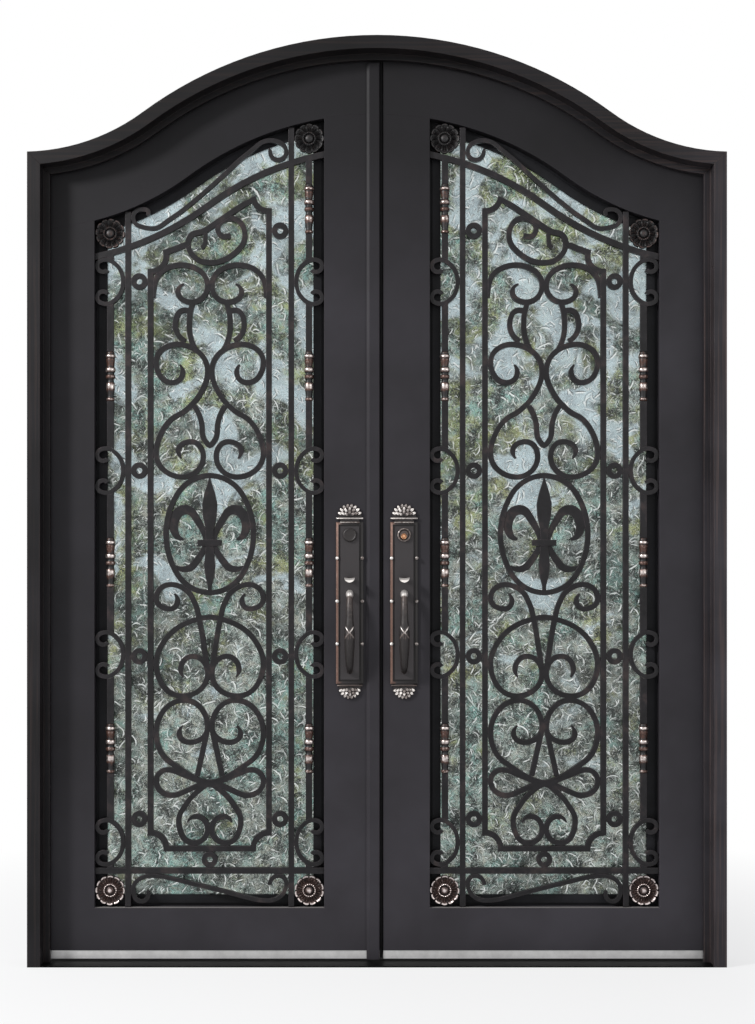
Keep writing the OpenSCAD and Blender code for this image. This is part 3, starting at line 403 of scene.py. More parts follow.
def addChips(tree, bent, patchy, layer):
    # one arc in each cell, turned, bent and cut short at random, bright along one side, dark along the other
    cell, reach, width = pane["chips"][layer]
    shifted = addNode(tree, "VectorMath", {0: bent, 1: (layer * 0.137, layer * 0.291, 0)}, operation="ADD")
    cells = addNode(tree, "TexVoronoi", {"Vector": shifted, "Scale": 1 / cell}, voronoi_dimensions="2D").outputs
    own = addNode(tree, "VectorMath", {0: shifted, 1: cells["Position"]}, operation="SUBTRACT")
    random = addNode(tree, "SeparateColor", {0: cells["Color"]}).outputs
    angle = addNode(tree, "Math", {0: random[0], 1: 2 * math.pi})
    turned = addNode(tree, "VectorRotate", {"Vector": own, "Angle": angle}, rotation_type="Z_AXIS")
    part = addNode(tree, "SeparateXYZ", {0: turned}).outputs
    square = addNode(tree, "Math", {0: part["X"], 1: part["X"]})
    bow = addNode(tree, "MapRange", {"Value": random[1], "To": (-pane["bow"], pane["bow"])})
    across = addNode(tree, "Math", {0: square, 1: bow, 2: part["Y"]}, operation="MULTIPLY_ADD")
    long = addNode(tree, "Math", {0: part["X"]}, operation="ABSOLUTE")
    span = addNode(tree, "MapRange", {"Value": random[2], "To": (cell * reach * 0.35, cell * reach)})
    ends = addNode(tree, "Math", {0: long, 1: span}, operation="DIVIDE")
    ends = addNode(tree, "MapRange", {"Value": ends, "From": (0.5, 1.0), "To": (1.0, 0.0)})
    spread = addNode(tree, "Math", {0: random[0], 1: random[1]}, operation="ADD")
    spread = addNode(tree, "Math", {0: spread}, operation="FRACT")
    strong = addNode(tree, "MapRange", {"Value": spread, "From": (0.1, 0.9)})
    body = addNode(tree, "Math", {0: ends, 1: strong})
    body = addNode(tree, "Math", {0: body, 1: patchy})
    chips = []
    for side in (1, -1):
        off = addNode(tree, "Math", {0: across, 1: side * width * 0.9}, operation="SUBTRACT")
        off = addNode(tree, "Math", {0: off}, operation="ABSOLUTE")
        line = addNode(tree, "MapRange", {"Value": off, "From": (width * 0.5, width * 1.1), "To": (1.0, 0.0)})
        chips.append(addNode(tree, "Math", {0: line, 1: body}))
    return chips


def makePane():
    s = pane
    material, tree, shader, place = startMaterial("iceChipGlass", s["plain"])
    axes = addNode(tree, "SeparateXYZ", {0: place}).outputs
    flat = addNode(tree, "CombineXYZ", {0: axes["X"], 1: axes["Z"]})
    upper = addNode(tree, "MapRange", {"Value": axes["Z"], "From": s["heights"]})
    noises = ("cloud", "leaves", "earth", "speck", "drift", "depths", "wander")
    cloud, leaves, earth, speck, drift, depths, wander = [
        addNode(tree, "TexNoise", {"Vector": place, **s[name]}) for name in noises]
    # clouds: where it is pale and clear, and where it is green
    lifted = addNode(tree, "Math", {0: upper, 1: s["clearer"], 2: cloud}, operation="MULTIPLY_ADD")
    clear = addNode(tree, "MapRange", {"Value": lifted, **s["clear"]})
    raised = addNode(tree, "Math", {0: upper, 1: s["leafier"], 2: leaves}, operation="MULTIPLY_ADD")
    leafy = addNode(tree, "MapRange", {"Value": raised, **s["leafy"]})
    earthy = addNode(tree, "MapRange", {"Value": earth, **s["earthy"]})
    # mottling as fine as grit, in drifts of light and dark
    mixed = addNode(tree, "Math", {0: drift, 1: 0.5, 2: speck}, operation="MULTIPLY_ADD")
    grit = addNode(tree, "MapRange", {"Value": mixed, **s["gritty"]})
    deeper = addNode(tree, "MapRange", {"Value": depths, **s["deeper"]})
    grit = addNode(tree, "Math", {0: grit, 1: deeper})
    cool = addNode(tree, "MapRange", {"Value": cloud, "From": (0.52, 0.40)})
    watery = addNode(tree, "Mix", {"Factor": cool, "A": s["mid"], "B": s["teal"]})
    tint = addNode(tree, "Mix", {"Factor": earthy, "A": watery, "B": s["cream"]})
    tint = addNode(tree, "Mix", {"Factor": leafy, "A": tint, "B": s["olive"]})
    ground = addNode(tree, "Mix", {"Factor": grit, "A": s["deep"], "B": tint})
    thin = addNode(tree, "MapRange", {"Value": grit, "To Min": 0.6})
    cleared = addNode(tree, "Math", {0: clear, 1: thin})
    ground = addNode(tree, "Mix", {"Factor": cleared, "A": ground, "B": s["pale"]})
    # chips, in layers of smaller and smaller ones
    wander = addNode(tree, "VectorMath", {0: wander.outputs["Color"], 1: (0.5, 0.5, 0.5)}, operation="SUBTRACT")
    wander = addNode(tree, "VectorMath", {0: wander, 3: s["wobble"]})
    bent = addNode(tree, "VectorMath", {0: flat, 1: wander}, operation="ADD")
    patchy = addNode(tree, "MapRange", {"Value": clear, "To": (0.9, 1.0)})
    bright, dark = addChips(tree, bent, patchy, 0)
    for layer in range(1, len(s["chips"])):
        lit, shaded = addChips(tree, bent, patchy, layer)
        bright = addNode(tree, "Math", {0: bright, 1: lit}, operation="MAXIMUM")
        dark = addNode(tree, "Math", {0: dark, 1: shaded}, operation="MAXIMUM")
    shaded = addNode(tree, "Math", {0: dark, 1: s["shadowDepth"]})
    ground = addNode(tree, "Mix", {"Factor": shaded, "A": ground, "B": s["shadow"]})
    colour = addNode(tree, "Mix", {"Factor": bright, "A": ground, "B": s["chip"]})
    relief = addNode(tree, "Math", {0: bright, 1: dark}, operation="SUBTRACT")
    height = addNode(tree, "Math", {0: relief, 1: 0.5, 2: speck}, operation="MULTIPLY_ADD")
    bump = addNode(tree, "Bump", {"Height": height, **s["relief"]})
    setInputs(shader, {"Base Color": colour, "Normal": bump})
    return material


# Cast finishes: colours of the hollows, the browned metal and the bright metal, roughness, metal, then how
# much rubbing is left high up, where less rub paints the castings darker as painted shade, and how uneven it is
castFinishes = {
    "bronze": ("rubbedCastBronze", "#0e0c0d", "#54403a", "#e2d6d2", 0.26, 0.95),
    "oiled": ("oilRubbedBronze", "#211f21", "#6a493c", "#dccbc2", 0.28, 0.9),
    "collar": ("polishedCollarBronze", "#0e0c0d", "#54392f", "#d3c9c4", 0.27, 0.95, 0.75),
    "copper": ("rubbedCopper", "#3a2116", "#8f5533", "#e2b48c", 0.25, 0.95),
    "plate": ("oiledPlate", "#2b2728", "#74584c", "#dccbc2", 0.34, 0.9, 1.0, 0.12),
    "polished": ("polishedBronze", "#1d1817", "#5f534e", "#f6f0ea", 0.3, 0.6, 1.0, 0.2),
}
finishes = {
    "leaf": makeLeafPaint(),
    "jamb": makeFramePaint("brushedBronzeGlazeUpright", 2, 0.5),
    "head": makeFramePaint("brushedBronzeGlazeAcross", 0, 0.6),
    "forged": makeForgedPaint(),
    "glazing": makeTwoTone(glazingPaint),
    "alloy": makeAlloy(),
    "sill": makeTwoTone(sillMetal),
    "rubber": makeTwoTone(rubber),
    "pane": makePane(),
}
finishes.update({key: makePatina(*values) for key, values in castFinishes.items()})
# finish of each frame piece, by the ending of its name
finishOf = {
    "jamb": "jamb", "head": "head", "sill": "sill", "sweep": "alloy", "stile": "leaf", "rail": "leaf",
    "astragal": "leaf",
    "glass_frame": "glazing", "glass": "pane", "bars": "forged", "cartouche": "forged", "scrolls": "forged",
    "scroll": "forged", "oval": "forged", "rings": "forged", "collars": "bronze", "rosettes": "bronze",
    "handle_plate": "oiled", "grip": "oiled", "thumb_piece": "oiled", "inside_trim": "oiled",
}
for name, node in nodes.items():
    ending = max((e for e in finishOf if name.endswith(e)), key=len)
    for materialSlot in node.material_slots:
        materialSlot.material = finishes[finishOf[ending]]
print("Finishes on the frame")


def smoothStep(a, b, x):
    t = max(0.0, min(1.0, (x - a) / (b - a)))
    return t * t * (3 - 2 * t)


# Shapes are built from points that carry "rub": 1 is bright metal, 0 the dark hollow, -1 soot black
def startCasting():
    work = bmesh.new()
    return work, work.verts.layers.float.new("rub")


def addPoint(work, rub, place, value):
    vert = work.verts.new(place)
    vert[rub] = value
    return vert


def addLoft(work, rub, rings, loop=False):
    # rings of (x, y, z, rub) in metres, joined one to the next, with closed ends or round in a loop
    made = [[addPoint(work, rub, point[:3], point[3]) for point in ring] for ring in rings]
    pairs = list(zip(made, made[1:])) + ([(made[-1], made[0])] if loop else [])
    for low, high in pairs:
        for k in range(len(low)):
            work.faces.new((low[k - 1], low[k], high[k], high[k - 1]))
    if not loop:
        work.faces.new(made[0])
        work.faces.new(made[-1])


def addTurned(work, rub, centre, outline, steps, upright=False):
    # closed turned solid: outline is [radius, how far out, rub] in millimetres, out towards -Y, or up
    rings = []
    for radius, out, value in outline:
        ring = []
        for k in range(steps):
            a = 2 * math.pi * k / steps
            c, d = radius * math.cos(a) / 1000, radius * math.sin(a) / 1000
            offset = (c, d, out / 1000) if upright else (c, -out / 1000, d)
            ring.append((centre[0] + offset[0], centre[1] + offset[1], centre[2] + offset[2], value))
        rings.append(ring)
    addLoft(work, rub, rings)


def closeMesh(work, name):
    bmesh.ops.recalc_face_normals(work, faces=work.faces)
    mesh = bpy.data.meshes.new(name)
    work.to_mesh(mesh)
    work.free()
    return mesh


def finishPiece(shape, name, body, finish, slotName, *replaced, sharpAngle=35):
    # takes a shape that is still being built, or a mesh that has its finish
    mesh = closeMesh(shape, name) if isinstance(shape, bmesh.types.BMesh) else shape
    if finish:
        mesh.materials.append(finishes[finish])
    mesh.shade_smooth()
    mesh.set_sharp_from_angle(angle=math.radians(sharpAngle))
    piece = bpy.data.objects.new(name, mesh)
    scene.collection.objects.link(piece)
    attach(piece, body)
    if replaced:
        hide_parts(*replaced)


def solidBoxes(nodeName, order):
    # lowest and highest corner of each loose solid in a node, in this order
    work = bmesh.new()
    work.from_mesh(nodes[nodeName].data)
    bmesh.ops.remove_doubles(work, verts=work.verts, dist=1e-5)
    left = set(work.verts)
    boxes = []
    while left:
        stack = [left.pop()]
        group = []
        while stack:
            vert = stack.pop()
            group.append(vert.co)
            for edge in vert.link_edges:
                other = edge.other_vert(vert)
                if other in left:
                    left.remove(other)
                    stack.append(other)
        boxes.append([Vector([pick(point[i] for point in group) for i in range(3)]) for pick in (min, max)])
    work.free()
    return sorted(boxes, key=order)


# One tree sets a casting on each point, gives it a small random turn, and paints it
def buildPlacingTree():
    tree = bpy.data.node_groups.new("setCastings", "GeometryNodeTree")
    kinds = {"Geometry": "Geometry", "Casting": "Object", "Turn": "Vector", "Seed": "Int", "Finish": "Material"}
    for name, kind in kinds.items():
        tree.interface.new_socket(name, in_out="INPUT", socket_type="NodeSocket" + kind)
    tree.interface.new_socket("Geometry", in_out="OUTPUT", socket_type="NodeSocketGeometry")
    given = addNode(tree, "NodeGroupInput").outputs
    casting = addNode(tree, "GeometryNodeObjectInfo", {"Object": given["Casting"]}).outputs["Geometry"]
    back = addNode(tree, "VectorMath", {0: given["Turn"], 3: -1.0})
    turn = addNode(tree, "FunctionNodeRandomValue", {0: back, 1: given["Turn"], "Seed": given["Seed"]},
                   data_type="FLOAT_VECTOR")
    placed = addNode(tree, "GeometryNodeInstanceOnPoints",
                     {"Points": given["Geometry"], "Instance": casting, "Rotation": turn})
    real = addNode(tree, "GeometryNodeRealizeInstances", {0: placed})
    painted = addNode(tree, "GeometryNodeSetMaterial", {"Geometry": real, "Material": given["Finish"]})
    addNode(tree, "NodeGroupOutput", {0: painted})
    return tree


placingTree = buildPlacingTree()


def setCastings(name, castingMesh, places, finish, turn, seed):
    casting = bpy.data.objects.new(name + "Casting", castingMesh)
    carrierMesh = bpy.data.meshes.new(name + "Points")
    carrierMesh.from_pydata(places, [], [])
    carrier = bpy.data.objects.new(name + "Carrier", carrierMesh)
    for item in (casting, carrier):
        scene.collection.objects.link(item)
    modifier = carrier.modifiers.new("setCastings", "NODES")
    modifier.node_group = placingTree
    values = {"Casting": casting, "Turn": turn, "Seed": seed, "Finish": finishes[finish]}
    for socket in placingTree.interface.items_tree:
        if socket.in_out == "INPUT" and socket.name in values:
            modifier[socket.identifier] = values[socket.name]
    depsgraph = bpy.context.evaluated_depsgraph_get()
    mesh = bpy.data.meshes.new_from_object(carrier.evaluated_get(depsgraph))
    mesh.name = name
    carrier.modifiers.remove(modifier)
    bpy.data.objects.remove(carrier)
    bpy.data.objects.remove(casting)
    return mesh


# Rosettes: twelve cupped petals round a beaded ring and a round button; sizes are shares of the radius
rosette = {"petals": 12, "beads": 18, "button": 0.27, "ring": 0.40, "ringWidth": 0.085, "steps": 192, "rings": 30,
           "depth": 0.014, "notch": 0.085, "turn": (0, 0.25, 0), "seed": 7}


def rosetteHeight(r, angle):
    # height as a share of the depth, and rub
    s = rosette
    lobe = abs(math.cos(s["petals"] * angle / 2))
    if r < s["button"]:
        return 0.62 + 0.38 * math.sqrt(max(0.0, 1 - (r / s["button"]) ** 2)), smoothStep(0.25, 0.0, r) * 0.9 + 0.25
    if abs(r - s["ring"]) < s["ringWidth"]:
        across = 1 - (abs(r - s["ring"]) / s["ringWidth"]) ** 2
        bead = 0.6 + 0.4 * abs(math.cos(s["beads"] * angle / 2))
        return 0.42 + 0.36 * across * bead, across * bead
    if r < s["ring"]:
        return 0.42, 0.0
    along = (r - s["ring"] - s["ringWidth"]) / (1 - s["ring"] - s["ringWidth"])
    wall = smoothStep(0.42, 0.08, lobe)
    lip = smoothStep(0.55, 0.85, along) * (1 - 0.35 * smoothStep(0.93, 1.0, along))
    rib = max(math.exp(-((1 - lobe) / 0.035) ** 2), 0.7 * math.exp(-((lobe - 0.72) / 0.10) ** 2))
    rib *= 1 - smoothStep(0.45, 0.8, along)
    high = max(wall * 0.6 * (1 - 0.5 * along), lip * smoothStep(0.05, 0.45, lobe), 0.62 * rib)
    return 0.24 + 0.42 * high, max(high, 0.30 * (1 - wall))


def rosetteMesh(radius):
    s = rosette
    work, rub = startCasting()
    height, value = rosetteHeight(0, 0)
    centre = addPoint(work, rub, (0, -height * s["depth"], 0), value)
    last = None
    for i in range(1, s["rings"] + 1):
        r = i / s["rings"]
        ring = []
        for k in range(s["steps"]):
            angle = 2 * math.pi * k / s["steps"]
            lobe = abs(math.cos(s["petals"] * angle / 2))
            reach = radius * r * (1 - s["notch"] * r * r * (1 - lobe ** 0.6))
            height, value = rosetteHeight(r, angle)
            place = (reach * math.cos(angle), -height * s["depth"], reach * math.sin(angle))
            ring.append(addPoint(work, rub, place, value))
        for k in range(s["steps"]):
            inner = (last[k], last[k - 1]) if last else (centre,)
            work.faces.new(inner + (ring[k - 1], ring[k]))
        last = ring
    foot = [work.verts.new((vert.co.x, 0, vert.co.z)) for vert in last]
    for k in range(s["steps"]):
        work.faces.new((last[k], last[k - 1], foot[k - 1], foot[k]))
    work.faces.new(foot)
    return closeMesh(work, "rosetteCasting")


# Collars: outline of the turned casting as [radius, height, rub] in millimetres, 132 high
collar = {"steps": 40, "height": 132, "turn": (0, 0, 3.0), "seed": 3, "outline": [
    (8.5, 0, 0.1), (10.4, 1.5, 0.5), (11.0, 4, 0.7), (10.6, 7, 0.6), (9.2, 9, 0.1), (8.8, 11, 0.0), (9.0, 14, 0.0),
    (9.4, 19, 0.05), (10.2, 25, 0.15), (11.2, 31, 0.6), (11.8, 37, 0.95), (11.8, 42, 0.95), (11.2, 47, 0.6),
    (9.6, 50, 0.1), (8.8, 53, -0.5), (8.8, 57, -0.5), (10.2, 59, 0.1), (12.2, 61.5, 0.5), (12.5, 65, 0.6),
    (12.0, 68.5, 0.5), (10.2, 70.5, -0.3), (9.6, 73, -0.5), (10.4, 76, -0.2), (12.8, 79, 0.7), (13.5, 82.5, 1.0),
    (13.3, 86, 1.0), (12.0, 88.5, 0.6), (10.0, 90.5, 0.0), (9.8, 93, 0.3), (10.4, 99, 0.45), (11.2, 106, 0.5),
    (11.6, 111, 0.5), (11.0, 114, 0.1), (12.6, 116, 0.6), (13.5, 118.5, 1.0), (13.2, 122, 1.0), (11.6, 124, 0.3),
    (10.6, 126, 0.1), (10.4, 128.5, 0.3), (9.6, 131, 0.2), (8.5, 132, 0.1)]}


def collarMesh(tall):
    # the casting stretched to this height, with its middle at the origin
    work, rub = startCasting()
    outline = [(radius, (height / collar["height"] - 0.5) * tall * 1000, value)
               for radius, height, value in collar["outline"]]
    addTurned(work, rub, (0, 0, 0), outline, collar["steps"], upright=True)
    return closeMesh(work, "collarCasting")


for side in ("left", "right"):
    boxes = solidBoxes(side + "_rosettes", lambda box: (box[0].z, box[0].x))
    places = [((a.x + b.x) / 2, a.y + rosette["depth"], (a.z + b.z) / 2) for a, b in boxes]
    sets = [("Rosette", rosetteMesh((boxes[0][1].x - boxes[0][0].x) / 2), places, "bronze", rosette)]
    boxes = solidBoxes(side + "_collars", lambda box: (box[0].x, box[0].z))
    places = [tuple((a + b) / 2) for a, b in boxes]
    sets.append(("Collar", collarMesh(boxes[0][1].z - boxes[0][0].z), places, "collar", collar))
    for kind, casting, places, finish, s in sets:
        mesh = setCastings(side + kind + "Set", casting, places, finish, s["turn"], s["seed"])
        frameName = side + "_" + kind.lower() + "s"
        finishPiece(mesh, side + kind + "Set", side + "_leaf", None, "cast_bronze", frameName, sharpAngle=50)
print("Rosettes and collars set")


# Handle sets: trim of cast bronze over each long plate. Heights are millimetres above the floor, and how far
# out is millimetres from the face of the leaf
handle = {
    "steps": 40,
    # skin of the plate: half width, bottom, top, out, rub at the left edge and at the right edge
    # on the rim, the left edge's rub is a painted highlight and the right edge's soot black is painted shade
    "skin": ((36.4, 737.5, 1166.7, 0.1, 0.2, -1.0), (36.4, 737.5, 1166.7, 5.4, 0.5, -1.0),
             (36.0, 737.9, 1166.3, 6.2, 0.55, -1.0), (30.4, 743.5, 1160.7, 9.4, 0.45, -1.0),
             (29.6, 744.3, 1159.9, 9.5, 0.0, -1.0), (28.8, 745.1, 1159.1, 6.4, -1.0, -1.0),
             (25.2, 748.7, 1155.5, 6.4, -1.0, -1.0), (25.2, 748.7, 1155.5, 9.2, -0.3, -0.3),
             (24.5, 749.4, 1154.8, 9.9, 0.0, 0.0), (8.5, 1008.5, 1020.6, 9.9, 0.0, 0.0),
             (8.5, 1008.5, 1020.6, 0.1, -1.0, -1.0)),
    # mouldings: height, thickness, out, depth, rub; the second is the neck under the crest, with its own half width
    "mouldings": ((1176.3, 6.0, 3.0, 8.0, 1.1), (1165.6, 5.0, 6.0, 6.5, 0.85), (733.2, 5.0, 3.0, 6.5, 0.5)),
    "neck": 26.5,
    # crest and foot: base, tip, half width
    "crests": ((1180.0, 1214.3, 34.0), (730.0, 698.0, 31.0)),
    # fans of leaves in a crest: how many, where they start and end, half width, height, out
    "fans": ((8, 0.46, 1.0, 6.0, 5.0, 5.2), (5, 0.24, 0.76, 5.6, 5.0, 7.8), (3, 0.05, 0.50, 5.6, 4.5, 10.2)),
    "studs": (1071, 957, 844), "studInset": 3.2, "studRubWithSideLight": {-1: 0.62, 1: 0.4},
    "studFoot": [(4.6, 7.0, 0.0), (4.6, 9.4, 0.3), (3.4, 9.9, -0.4)],
    "studHead": [(4.5, 11.0, 1.0), (4.8, 12.4, 1.2), (4.2, 14.0, 1.6), (2.5, 15.3, 1.6), (0.6, 15.8, 1.6)],
    # lock cylinder on the right leaf, its blank on the left leaf, and the plug of the key set low in the cylinder
    "cylinderHeight": 1132.5,
    "ring": [(17.9, 9.0, 0.0), (18.4, 12.0, 0.2), (18.2, 15.0, 0.5), (17.0, 17.2, 0.62), (15.2, 17.8, 0.5),
             (13.6, 16.8, 0.1)],
    "cylinder": [(12.6, 15.2, 0.0), (11.0, 15.0, 0.0), (10.6, 17.0, 0.4), (4.0, 17.2, 0.3), (0.5, 17.2, 0.3)],
    "blank": [(12.0, 16.4, 0.05), (4.0, 16.8, 0.05), (0.5, 16.8, 0.05)], "blankRub": 0.25,
    "plugPlace": (-1.0, 1128.5),
    "plug": [(7.8, 16.0, 0.4), (7.8, 17.8, 0.8), (7.0, 18.9, 1.0), (5.4, 18.2, 0.4), (4.6, 18.4, 0.6),
             (2.4, 19.2, 1.0), (0.5, 19.5, 1.0)],
}


def plateRing(x, half, y, bottom, top, left, right):
    # four corners of an upright plate, with the rub of its left and right edge
    low, high = x - half, x + half
    return [(low, y, bottom, left), (high, y, bottom, right), (high, y, top, right), (low, y, top, left)]


def addLeaf(work, rub, x, z, y, angle, length, half, height, polish):
    # one acanthus lobe: a ridged leaf-shaped dome that lifts towards its tip, base at (x, z), angle from upright
    along, across = 16, 12
    direction = (math.sin(angle), math.cos(angle))
    side = (direction[1], -direction[0])
    rows = []
    for i in range(along + 1):
        t = i / along
        wide = half * max(0.0, math.sin(math.pi * t ** 1.25)) ** 0.6
        swell = max(0.0, math.sin(math.pi * min(1.0, 0.04 + 0.98 * t) ** 1.6)) ** 0.5
        lift = height * (0.35 + 0.65 * t ** 1.2) * swell
        row = []
        for k in range(across + 1):
            v = 2 * k / across - 1
            dome = math.sqrt(max(0.0, 1 - v * v)) * (1 - 0.22 * math.exp(-(v / 0.16) ** 2))
            px = x + direction[0] * length * t + side[0] * wide * v
            pz = z + direction[1] * length * t + side[1] * wide * v
            # one half of each lobe gets more rub than the other: a painted highlight
            bright = polish * smoothStep(0.5, 0.95, dome) * smoothStep(0.12, 0.5, t) * (1 if v < 0.45 else 0.6)
            row.append(((px / 1000, y - (lift * dome) / 1000, pz / 1000), bright - 0.5 * smoothStep(0.5, 0.1, dome)))
        rows.append(row)
    ends = [(rows[0][0][0], 0.0), (rows[-1][0][0], 0.5)]
    tips = [addPoint(work, rub, (place[0], y, place[2]), value) for place, value in ends]
    grid = [[addPoint(work, rub, place, value) for place, value in row] for row in rows[1:-1]]
    for low, high in zip(grid, grid[1:]):
        for k in range(across):
            work.faces.new((low[k], low[k + 1], high[k + 1], high[k]))
    for k in range(across):
        work.faces.new((tips[0], grid[0][k + 1], grid[0][k]))
        work.faces.new((tips[1], grid[-1][k], grid[-1][k + 1]))
    work.faces.new([tips[0]] + [row[0] for row in grid] + [tips[1]] + [row[-1] for row in reversed(grid)])


def addCrest(work, rub, x, face, base, tip, half):
    # backing with a rounded edge, under a fan of leaves that fills it: long ones behind, short ones in front
    up = 1 if tip > base else -1
    tall = abs(tip - base)
    arc = []
    for k in range(25):
        a = math.pi * k / 24
        arc.append((half * 0.93 * math.cos(a), base - up * 2 + (tip - base + up * 0.5) * 0.9 * math.sin(a)))
    arc += [(-25, base - up * 3), (-25, base - up * 18), (25, base - up * 18), (25, base - up * 3)]
    addLoft(work, rub, [[(x + px / 1000, face - out / 1000, pz / 1000, 0.0) for px, pz in arc] for out in (0.2, 5.6)])
    for count, start, reach, wide, high, out in handle["fans"]:
        for k in range(count):
            angle = math.radians(83) * ((k + 0.5) / count * 2 - 1)
            x0, z0 = half * start * math.sin(angle), tall * start * math.cos(angle)
            x1, z1 = half * reach * math.sin(angle) * 0.98, tall * reach * math.cos(angle)
            lean = math.atan2(x1 - x0, (z1 - z0) * up)
            polish = 0.85 + 0.22 * math.sin(7.3 * k + 2.1 * count + 40 * x)
            addLeaf(work, rub, x * 1000 + x0, base + up * (z0 + 1.5), face - out / 1000, lean,
                    math.hypot(x1 - x0, z1 - z0), wide, high, polish)


def addMoulding(work, rub, x, face, half, z, tall, out, deep, polish):
    # half-round bar across the plate, with rounded ends, unevenly rubbed
    rings = []
    for across, scale in ((-1.0, 0.35), (-0.985, 0.8), (-0.95, 1.0), (0.95, 1.0), (0.985, 0.8), (1.0, 0.35)):
        px = x + half * across / 1000
        patchy = 1 - 0.3 * abs(math.sin(900 * px))
        ring = []
        for k in range(13):
            a = math.pi * k / 12
            y, up = face - (out + deep * scale * math.sin(a)) / 1000, (z - tall / 2 * scale * math.cos(a)) / 1000
            ring.append((px, y, up, polish * math.sin(a) ** 0.5 * patchy))
        rings.append(ring)
    addLoft(work, rub, rings)


def makeHandleTrim(side):
    s = handle
    low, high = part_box(side + "_handle_plate")
    x = (low.x + high.x) / 2
    face = high.y
    half = (high.x - low.x) * 500
    # plate, rim, panel and slot in one closed skin; the left edge is rubbed to copper and brightened as a painted
    # highlight, the right edge painted black as painted shade
    work, rub = startCasting()
    addLoft(work, rub, [plateRing(x, wide / 1000, face - out / 1000, bottom / 1000, top / 1000, left, right)
                        for wide, bottom, top, out, left, right in s["skin"]], loop=True)
    finishPiece(work, side + "HandlePlate", side + "_leaf", "plate", "oiled_bronze", side + "_handle_plate",
                sharpAngle=30)
    # crest, foot, mouldings, and round-headed studs along both edges
    work, rub = startCasting()
    for wide, shape in zip((half, s["neck"], half - 2), s["mouldings"]):
        addMoulding(work, rub, x, face, wide, *shape)
    for base, tip, wide in s["crests"]:
        addCrest(work, rub, x, face, base, tip, wide)
    for z in s["studs"]:
        # the studs on the left edge get more rub than those on the right: a painted highlight
        for edge, polish in s["studRubWithSideLight"].items():
            head = [(radius, out, value * polish) for radius, out, value in s["studHead"]]
            place = (x + edge * (half - s["studInset"]) / 1000, face, z / 1000)
            addTurned(work, rub, place, s["studFoot"] + head, 20)
    if side == "right":
        outline = s["ring"] + s["cylinder"]
    else:
        outline = [(radius, out, value * s["blankRub"]) for radius, out, value in s["ring"]] + s["blank"]
    addTurned(work, rub, (x, face, s["cylinderHeight"] / 1000), outline, s["steps"])
    finishPiece(work, side + "HandleTrim", side + "_leaf", "polished", "oiled_bronze", sharpAngle=50)
    if side == "right":
        work, rub = startCasting()
        aside, z = s["plugPlace"]
        addTurned(work, rub, (x + aside / 1000, face, z / 1000), s["plug"], s["steps"])
        finishPiece(work, "keyPlug", "right_leaf", "copper", "oiled_bronze", sharpAngle=50)


# Grips: a fluted bar bound with a crossed ribbon. The path is [how far out, height], radii go along it
grip = {"path": [(6, 976.5), (22, 977), (36, 969), (45.5, 946), (50, 908), (51, 872), (49, 836), (42, 801),
                 (31, 781), (18, 773), (5, 772)],
        "radius": [(0, 9.2), (0.08, 9.7), (0.15, 9.9), (0.22, 8.0), (0.27, 8.2), (0.37, 9.6), (0.45, 12.0),
                   (0.51, 14.0), (0.58, 13.2), (0.74, 10.2), (0.86, 7.4), (0.90, 6.2), (0.94, 7.6), (0.97, 7.6),
                   (1.0, 6.4)],
        "along": 170, "round": 84, "flutes": 14, "fluteDeep": 0.055,
        "ribbonAt": 875, "ribbonTall": 17, "ribbonLean": 1.15, "ribbonWide": 0.23, "ribbonRise": 1.3,
        # roses where the grip meets the plate: height and radius
        "roses": ((976.5, 10.5), (772.0, 8.2)), "sunk": 4.0}


def between(stops, t):
    for (a, va), (b, vb) in zip(stops, stops[1:]):
        if t <= b:
            return va + (vb - va) * smoothStep(a, b, t)
    return stops[-1][1]


def pathPoint(points, t):
    # smooth run through the points
    place = t * (len(points) - 1)
    i = min(int(place), len(points) - 2)
    u = place - i
    p = [Vector(points[max(0, min(len(points) - 1, i + d))]) for d in (-1, 0, 1, 2)]
    square = (2 * p[0] - 5 * p[1] + 4 * p[2] - p[3]) * u * u
    return 0.5 * ((2 * p[1]) + (p[2] - p[0]) * u + square + (3 * p[1] - p[0] - 3 * p[2] + p[3]) * u ** 3)


def gripRub(t, groove, turn, rise, inside, cross):
    # bright at the top, fading down the flutes, and on the ribbon and the parts of the bar beside it
    value = 0.10 + 0.6 * (1 - smoothStep(0.19, 0.235, t)) + 0.22 * (1 - smoothStep(0.2, 0.42, t))
    value += 0.12 * (1 - smoothStep(0.23, 0.5, t)) * (1 - groove)
    value += 0.3 * inside * (1 if rise < 0.2 else 0) * (1 - groove) * smoothStep(0.8, 0.3, abs(turn))
    return max(value, cross * (0.65 + 0.35 * smoothStep(-0.3, 0.6, rise)), 0.4 * smoothStep(0.9, 0.94, t))


